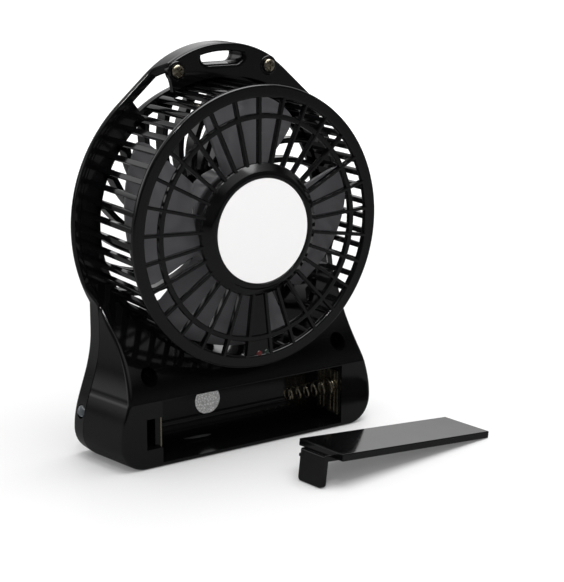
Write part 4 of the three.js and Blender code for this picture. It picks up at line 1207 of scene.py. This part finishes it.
def spring_shape():
    """The conical battery spring, wound down close at both of its ends."""
    low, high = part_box("battery_spring")
    wire = mm(0.35)
    centre_y, centre_z = mm(SPRING_DEPTH), mm(SPRING_HEIGHT)
    wide, narrow = mm(3.1), mm(2.2)
    bm = bmesh.new()
    bmesh.ops.create_circle(bm, segments=10, radius=wire)
    bmesh.ops.translate(bm, vec=(low.x + wire, centre_y + wide, centre_z), verts=bm.verts)
    length_left = high.x - low.x - 2 * wire
    closed_run = wire * 2.1
    turns = ((1, closed_run), (5, length_left - 2 * closed_run), (1, closed_run))
    tip = list(bm.verts) + list(bm.edges)
    for count, run in turns:
        steps = count * 28
        made = bmesh.ops.spin(bm, geom=tip, cent=(0, centre_y, centre_z), axis=(1, 0, 0),
                              angle=2 * math.pi * count, steps=steps, dvec=(run / steps, 0, 0))
        tip = made["geom_last"]
    bmesh.ops.remove_doubles(bm, verts=bm.verts, dist=mm(0.0005))
    bmesh.ops.holes_fill(bm, edges=boundary(bm), sides=0)
    bmesh.ops.recalc_face_normals(bm, faces=bm.faces)
    for v in bm.verts:
        share = (v.co.x - low.x) / (high.x - low.x)
        arm = Vector((0, v.co.y - centre_y, v.co.z - centre_z))
        drawn = arm - arm.normalized() * (wide - narrow) * share
        v.co.y, v.co.z = centre_y + drawn.y, centre_z + drawn.z
    return bm


def ribbed_plate(node):
    """A spring contact pressed from strip, with upright ribs."""
    low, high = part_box(node)
    plate = block(low, high, mm(0.15))
    for share in (0.16, 0.34, 0.66, 0.84):
        y = low.y + (high.y - low.y) * share
        add_to(plate, block((high.x - mm(0.1), y - mm(0.35), low.z + mm(1)),
                            (high.x + mm(0.22), y + mm(0.35), high.z - mm(1)), mm(0.15)))
    return plate


def button_shape():
    """The push button: a dished face, a skirt and the stem that meets the switch."""
    low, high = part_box("power_button")
    face, rear = low.y * 1000, high.y * 1000
    return lathe([(0, face + 0.55), (2.6, face + 0.4), (4.3, face), (4.8, face + 0.5),
                  (4.8, -13.7), (6.0, -13.7), (6.0, -12.7), (1.3, -12.7), (1.3, rear), (0, rear)],
                 z=mm(BUTTON_HEIGHT), steps=64, rounding=0.18)


def door_shape(sizes):
    """The battery door: a plate and the snap leg at its end, leaning beside the fan."""
    long, wide, wall = sizes.door_length, sizes.door_width, sizes.door_wall
    leg_half = sizes.door_leg_width / 2
    bridge = mm(2.6)
    outer = bridge + mm(2.2)
    leg = sizes.door_leg
    plate = block((-long, -wide / 2, -wall), (0, wide / 2, 0), mm(0.35), 3)
    profile = bmesh.new()
    pen = Pen(profile, mm(-4), -leg_half, -wall * 0.45)
    pen.line(mm(-4), -wall - mm(0.8))
    pen.line(bridge, -wall - mm(0.8))
    pen.line(bridge, -leg)
    pen.line(outer, -leg)
    pen.line(outer, -wall * 0.45 - mm(0.4))
    pen.line(outer - mm(0.4), -wall * 0.45)
    pen.close()
    faces = bmesh.ops.edgeloop_fill(profile, edges=pen.edges())["faces"]
    pull(profile, faces, (0, leg_half * 2, 0))
    ease_edges(profile, mm(1.3), 4, least=60, chosen=lambda e: (
        max(v.co.z for v in e.verts) < -leg + mm(0.1)
        and abs(e.verts[0].co.y - e.verts[1].co.y) < mm(0.1)))
    ease_edges(profile, mm(0.22), 2, least=40)
    tooth = block((outer - mm(1), -leg_half - mm(0.7), -wall - mm(1.8)),
                  (outer - mm(0.1), -leg_half + mm(0.6), -wall - mm(0.6)), mm(0.2))
    add_to(profile, tooth)
    bmesh.ops.translate(profile, vec=(0, mm(1), 0), verts=profile.verts)
    add_to(plate, profile)
    tilt = math.atan2(leg - wall, long + bridge)
    turn = Euler((0, -tilt, math.radians(DOOR_TURN))).to_matrix().to_4x4()
    bmesh.ops.transform(plate, matrix=turn, verts=plate.verts)
    corner = turn @ Vector((0, wide / 2, 0))
    lowest = min(v.co.z for v in plate.verts)
    x, y = (mm(place) for place in DOOR_CORNER)
    bmesh.ops.translate(plate, vec=(x - corner.x, y - corner.y, -lowest), verts=plate.verts)
    return plate


# ---- operators ---------------------------------------------------------------------------------

class DESKFAN_OT_rear_housing(bpy.types.Operator):
    """Models the rear housing: foot, rim, handle, slatted drum and rear grille."""
    bl_idname = "deskfan.rear_housing"
    bl_label = "Rear housing"
    bl_options = {"REGISTER", "UNDO"}

    def execute(self, context):
        sizes, black = context.scene.fan_sizes, black_abs(context)
        shapes = {
            "foot_shell": add_to(foot_shell(sizes), drum_collar(sizes)),
            "rim_lip": add_to(rim_lip(sizes), inner_plate(sizes)),
            "handle_panel": handle_panel(sizes),
            "drum_slats": slat_ring(sizes),
            "rear_grille": add_to(rear_ring(sizes), grille_bars(sizes), hub_cone(sizes)),
        }
        for name, shape in shapes.items():
            new_piece(name, shape, "housing", "housing", black, ["rear_housing"])
        return {"FINISHED"}


class DESKFAN_OT_front_housing(bpy.types.Operator):
    """Models the front housing and its grille."""
    bl_idname = "deskfan.front_housing"
    bl_label = "Front housing"
    bl_options = {"REGISTER", "UNDO"}

    def execute(self, context):
        sizes, black = context.scene.fan_sizes, black_abs(context)
        shapes = {
            "front_shell": add_to(front_shell(sizes), screw_posts()),
            "front_grille": front_grille(sizes),
        }
        for name, shape in shapes.items():
            new_piece(name, shape, "housing", "housing", black, ["front_housing"])
        return {"FINISHED"}


class DESKFAN_OT_impeller(bpy.types.Operator):
    """Models the impeller with its four twisted blades."""
    bl_idname = "deskfan.impeller"
    bl_label = "Impeller"
    bl_options = {"REGISTER", "UNDO"}

    def execute(self, context):
        grey = smoke_polystyrene(context.scene.fan_finishes)
        new_piece("fan_impeller", impeller_shape(context.scene.fan_sizes), "rotor", "blades", grey,
                  ["impeller"])
        return {"FINISHED"}


class DESKFAN_OT_labels(bpy.types.Operator):
    """Models the bare label on the hub and the foil seal in the battery bay."""
    bl_idname = "deskfan.labels"
    bl_label = "Label and seal"
    bl_options = {"REGISTER", "UNDO"}

    def execute(self, context):
        finishes = context.scene.fan_finishes
        low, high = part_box("hub_label")
        front, rear = low.y * 1000, high.y * 1000
        radius = (high.x - low.x) * 500
        disc = lathe([(0, front), (radius, front), (radius, rear), (0, rear)],
                     z=middle("hub_label").z - mm(HUB_DROP), steps=128, rounding=0.1, segments=2)
        new_piece("round_label", disc, "housing", "paper", coated_paper(finishes), ["hub_label"])
        low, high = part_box("bay_seal")
        front, rear = low.y * 1000, high.y * 1000
        radius = (high.z - low.z) * 500
        centre = middle("bay_seal")
        seal = lathe([(0, front), (radius, front), (radius, rear - 0.02), (radius - 0.25, rear),
                      (radius - 0.7, rear), (radius - 0.9, rear - 0.1), (0, rear - 0.1)],
                     x=centre.x, z=centre.z, steps=72)
        new_piece("foil_seal", seal, "housing", "foil", speckled_foil(finishes), ["bay_seal"])
        return {"FINISHED"}


class DESKFAN_OT_lamps(bpy.types.Operator):
    """Models the two indicator lamps and the clear lamp in the foot's side."""
    bl_idname = "deskfan.lamps"
    bl_label = "Lamps"
    bl_options = {"REGISTER", "UNDO"}

    def execute(self, context):
        finishes = context.scene.fan_finishes
        for node, piece, slot, name, base, glow in (
                ("charge_lamp", "red_lamp", "red_lens", "Red cast lens", finishes.red, 0.02),
                ("full_lamp", "green_lamp", "green_lens", "Green cast lens", finishes.green, 0.0)):
            centre, tip = middle(node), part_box(node)[1].y
            shape = lamp_shape(centre.x * 1000, centre.z * 1000, tip * 1000)
            new_piece(piece, shape, "housing", slot, tinted_lens(name, base, glow), [node])
        new_piece("clear_lamp", side_lamp_shape(), "housing", "clear_lens", clear_resin(finishes),
                  ["side_lamp"])
        return {"FINISHED"}


class DESKFAN_OT_fasteners(bpy.types.Operator):
    """Models the four cross recess screws."""
    bl_idname = "deskfan.fasteners"
    bl_label = "Screws"
    bl_options = {"REGISTER", "UNDO"}

    def execute(self, context):
        nickel = nickel_plate(context)
        for place in ("top_screw_left", "top_screw_right", "foot_screw_left", "foot_screw_right"):
            low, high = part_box(place)
            centre = middle(place)
            # the handle is thin, so its screws are shorter
            tip = low.y * 1000 + (5 if place.startswith("top") else 0)
            shape = screw_shape(centre.x * 1000, centre.z * 1000, high.y * 1000 - SCREW_HEAD, tip)
            new_piece("pan_" + place, shape, "housing", "nickel", nickel, [place])
        return {"FINISHED"}


class DESKFAN_OT_contacts(bpy.types.Operator):
    """Models the battery spring and the ribbed plate it stands on."""
    bl_idname = "deskfan.contacts"
    bl_label = "Battery contacts"
    bl_options = {"REGISTER", "UNDO"}

    def execute(self, context):
        nickel = nickel_plate(context)
        new_piece("conical_spring", spring_shape(), "housing", "nickel", nickel, ["battery_spring"])
        new_piece("ribbed_plate", ribbed_plate("spring_plate"), "housing", "nickel", nickel,
                  ["spring_plate"])
        return {"FINISHED"}


class DESKFAN_OT_button(bpy.types.Operator):
    """Models the power button."""
    bl_idname = "deskfan.button"
    bl_label = "Power button"
    bl_options = {"REGISTER", "UNDO"}

    def execute(self, context):
        new_piece("push_button", button_shape(), "button", "button", black_abs(context),
                  ["power_button"])
        return {"FINISHED"}


class DESKFAN_OT_door(bpy.types.Operator):
    """Models the battery door beside the fan."""
    bl_idname = "deskfan.door"
    bl_label = "Battery door"
    bl_options = {"REGISTER", "UNDO"}

    def execute(self, context):
        new_piece("bay_door", door_shape(context.scene.fan_sizes), "door", "housing",
                  black_abs(context), ["battery_door"])
        return {"FINISHED"}


class DESKFAN_OT_inner_parts(bpy.types.Operator):
    """Gives the motor, its shaft, board, switch, socket and one contact their finishes."""
    bl_idname = "deskfan.inner_parts"
    bl_label = "Inner parts"
    bl_options = {"REGISTER", "UNDO"}

    def execute(self, context):
        steel = rolled_steel(context)
        finishes = {
            "motor": steel, "motor_shaft": steel, "usb_socket": steel,
            "circuit_board": soldermask(context.scene.fan_finishes),
            "power_switch": moulded_nylon(), "positive_contact": nickel_plate(context),
        }
        for node, finish in finishes.items():
            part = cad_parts[node]
            for place in part.material_slots:
                place.material = finish
        return {"FINISHED"}


class DESKFAN_OT_stage(bpy.types.Operator):
    """Sets the table top, the lamps, the room's light and the camera."""
    bl_idname = "deskfan.stage"
    bl_label = "Stage"
    bl_options = {"REGISTER", "UNDO"}

    def execute(self, context):
        scene = context.scene
        stage = scene.fan_stage
        bm = bmesh.new()
        bmesh.ops.create_grid(bm, x_segments=1, y_segments=1, size=6)
        bmesh.ops.translate(bm, vec=(0, 0, mm(-0.02)), verts=bm.verts)
        mesh = bpy.data.meshes.new("table_top")
        bm.to_mesh(mesh)
        bm.free()
        floor = bpy.data.objects.new("table_top", mesh)
        scene.collection.objects.link(floor)
        mesh.materials.append(self.table_finish(scene.fan_finishes))
        self.add_lamp("overhead", (-0.15, 0.05, 0.95), (0, 0, 0.05), 0.9, stage.overhead)
        self.add_lamp("sparkle", (0.4, 0.6, 1.04), (0, 0, 0.08), 0.1, stage.sparkle)
        self.light_room(scene, stage)
        self.add_camera(scene, stage)
        scene.view_settings.view_transform = "Standard"
        return {"FINISHED"}

    def table_finish(self, finishes):
        """White seamless paper: matt, glowing a little so that only the shadow stays grey."""
        material = surface("White seamless paper", {"Base Color": finishes.floor, "Roughness": 0.5,
                           "Specular IOR Level": 0.2},
                           relief=[("Noise", 1.2, {"Detail": 2.0}, 0.05, 0.05)])
        tree = material.node_tree
        rays = add_node(tree, "ShaderNodeLightPath")
        # the glow grows outwards, where the overhead lamp no longer reaches
        reach = add_node(tree, "ShaderNodeVectorMath", {"operation": "LENGTH"},
                         {0: (tree.nodes["Texture Coordinate"], "Object")})
        level = add_node(tree, "ShaderNodeMapRange", {"From Min": 0.2, "From Max": 0.8,
                         "To Min": 0.12, "To Max": 0.68}, {"Value": (reach, "Value")})
        seen = add_node(tree, "ShaderNodeMath", {"operation": "MULTIPLY"},
                        {0: (rays, "Is Camera Ray"), 1: (level, "Result")})
        glow = add_node(tree, "ShaderNodeEmission", {"Color": (1, 1, 1, 1)},
                        {"Strength": (seen, "Value")})
        both = add_node(tree, "ShaderNodeAddShader", links={
            0: (tree.nodes["Principled BSDF"], "BSDF"), 1: (glow, "Emission")})
        # glossy rays see the table almost black: a painted dark reflection, so that the black
        # plastic mirrors little of the white table
        board = add_node(tree, "ShaderNodeEmission", {"Color": (1, 1, 1, 1), "Strength": 0.03})
        share = add_node(tree, "ShaderNodeMath", {"operation": "MULTIPLY", 1: 0.8},
                         {0: (rays, "Is Glossy Ray")})
        whole = add_node(tree, "ShaderNodeMixShader", links={
            0: (share, "Value"), 1: (both, "Shader"), 2: (board, "Emission")})
        tree.links.new(whole.outputs[0], tree.nodes["Material Output"].inputs["Surface"])
        return material

    def add_lamp(self, name, place, aim, size, power):
        data = bpy.data.lights.new(name, "AREA")
        data.shape = "DISK"
        data.size = size
        data.energy = power
        lamp = bpy.data.objects.new(name, data)
        lamp.location = place
        lamp.rotation_euler = (Vector(aim) - Vector(place)).to_track_quat("-Z", "Y").to_euler()
        bpy.context.scene.collection.objects.link(lamp)

    def light_room(self, scene, stage):
        """A white backdrop for the eye; reflections find it behind and above the fan only."""
        world = bpy.data.worlds.new("Studio")
        scene.world = world
        world.use_nodes = True
        tree = world.node_tree
        tree.nodes.clear()
        rays = add_node(tree, "ShaderNodeLightPath")
        way = add_node(tree, "ShaderNodeTexCoord")
        parts = add_node(tree, "ShaderNodeSeparateXYZ", links={"Vector": (way, "Generated")})
        # bright towards the backdrop past the front of the fan, in a band above the table's edge,
        # and bright overhead
        level = {}
        for name, axis, start, end, low, high in (("behind", "Y", 0.25, -0.6, 0.06, 1.0),
                                                  ("lower", "Z", 0.0, 0.2, 0.12, 1.0),
                                                  ("upper", "Z", 0.38, 0.6, 1.0, 0.1),
                                                  ("above", "Z", 0.55, 0.95, 0.0, 0.9)):
            step = add_node(tree, "ShaderNodeMapRange", {"interpolation_type": "SMOOTHSTEP",
                            "From Min": start, "From Max": end, "To Min": low, "To Max": high},
                            {"Value": (parts, axis)})
            level[name] = (step, "Result")
        for name, operation, other in (("upper", "MULTIPLY", "lower"),
                                       ("behind", "MULTIPLY", "upper"),
                                       ("above", "MAXIMUM", "behind")):
            joined = add_node(tree, "ShaderNodeMath", {"operation": operation},
                              {0: level[name], 1: level[other]})
            level[name] = (joined, "Value")
        seen = add_node(tree, "ShaderNodeMix", {"data_type": "FLOAT", 2: stage.fill},
                        {0: (rays, "Is Glossy Ray"), 3: level["above"]})
        through = add_node(tree, "ShaderNodeMath", {"operation": "MAXIMUM"},
                           {0: (rays, "Is Camera Ray"), 1: (rays, "Is Transmission Ray")})
        whole = add_node(tree, "ShaderNodeMix", {"data_type": "FLOAT", 3: 1.0},
                         {0: (through, "Value"), 2: (seen, 0)})
        back = add_node(tree, "ShaderNodeBackground", {"Color": (1, 1, 1, 1)},
                        {"Strength": (whole, 0)})
        add_node(tree, "ShaderNodeOutputWorld", links={"Surface": (back, "Background")})

    def add_camera(self, scene, stage):
        azimuth, elevation = stage.azimuth, stage.elevation
        back = Vector((math.sin(azimuth) * math.cos(elevation),
                       -math.cos(azimuth) * math.cos(elevation), math.sin(elevation)))
        right = (-back).cross(Vector((0, 0, 1))).normalized()
        up = right.cross(-back)
        turned_right = math.cos(stage.roll) * right + math.sin(stage.roll) * up
        turned_up = math.cos(stage.roll) * up - math.sin(stage.roll) * right
        data = bpy.data.cameras.new("viewer")
        data.sensor_width = 36
        data.sensor_fit = "HORIZONTAL"
        data.lens = stage.lens
        data.clip_start = 0.01
        camera = bpy.data.objects.new("viewer", data)
        aim = Vector((0, stage.aim_depth, stage.aim_height))
        matrix = Matrix((turned_right, turned_up, back)).transposed().to_4x4()
        matrix.translation = aim + back * stage.distance
        camera.matrix_world = matrix
        scene.collection.objects.link(camera)
        scene.camera = camera


class DESKFAN_PT_panel(bpy.types.Panel):
    """Lists the fan's pieces and its stage."""
    bl_idname = "DESKFAN_PT_panel"
    bl_label = "Desk fan"
    bl_space_type = "VIEW_3D"
    bl_region_type = "UI"
    bl_category = "Desk fan"

    def draw(self, context):
        for operator in OPERATORS:
            self.layout.operator(operator.bl_idname)
        for name in ("fan_sizes", "fan_finishes", "fan_stage"):
            group = getattr(context.scene, name)
            box = self.layout.box()
            for prop in group.bl_rna.properties:
                if prop.identifier not in ("rna_type", "name"):
                    box.prop(group, prop.identifier)


OPERATORS = (
    DESKFAN_OT_rear_housing, DESKFAN_OT_front_housing, DESKFAN_OT_impeller, DESKFAN_OT_labels,
    DESKFAN_OT_lamps, DESKFAN_OT_fasteners, DESKFAN_OT_contacts, DESKFAN_OT_button,
    DESKFAN_OT_door, DESKFAN_OT_inner_parts, DESKFAN_OT_stage,
)
CLASSES = (FanSizes, FanFinishes, StageSettings) + OPERATORS + (DESKFAN_PT_panel,)


def register():
    for cls in CLASSES:
        bpy.utils.register_class(cls)
    bpy.types.Scene.fan_sizes = PointerProperty(type=FanSizes)
    bpy.types.Scene.fan_finishes = PointerProperty(type=FanFinishes)
    bpy.types.Scene.fan_stage = PointerProperty(type=StageSettings)


def unregister():
    del bpy.types.Scene.fan_stage
    del bpy.types.Scene.fan_finishes
    del bpy.types.Scene.fan_sizes
    for cls in reversed(CLASSES):
        bpy.utils.unregister_class(cls)


def main():
    register()
    bpy.ops.deskfan.rear_housing()
    bpy.ops.deskfan.front_housing()
    bpy.ops.deskfan.impeller()
    bpy.ops.deskfan.labels()
    bpy.ops.deskfan.lamps()
    bpy.ops.deskfan.fasteners()
    bpy.ops.deskfan.contacts()
    bpy.ops.deskfan.button()
    bpy.ops.deskfan.door()
    bpy.ops.deskfan.inner_parts()
    bpy.ops.deskfan.stage()


if __name__ == "__main__":
    main()
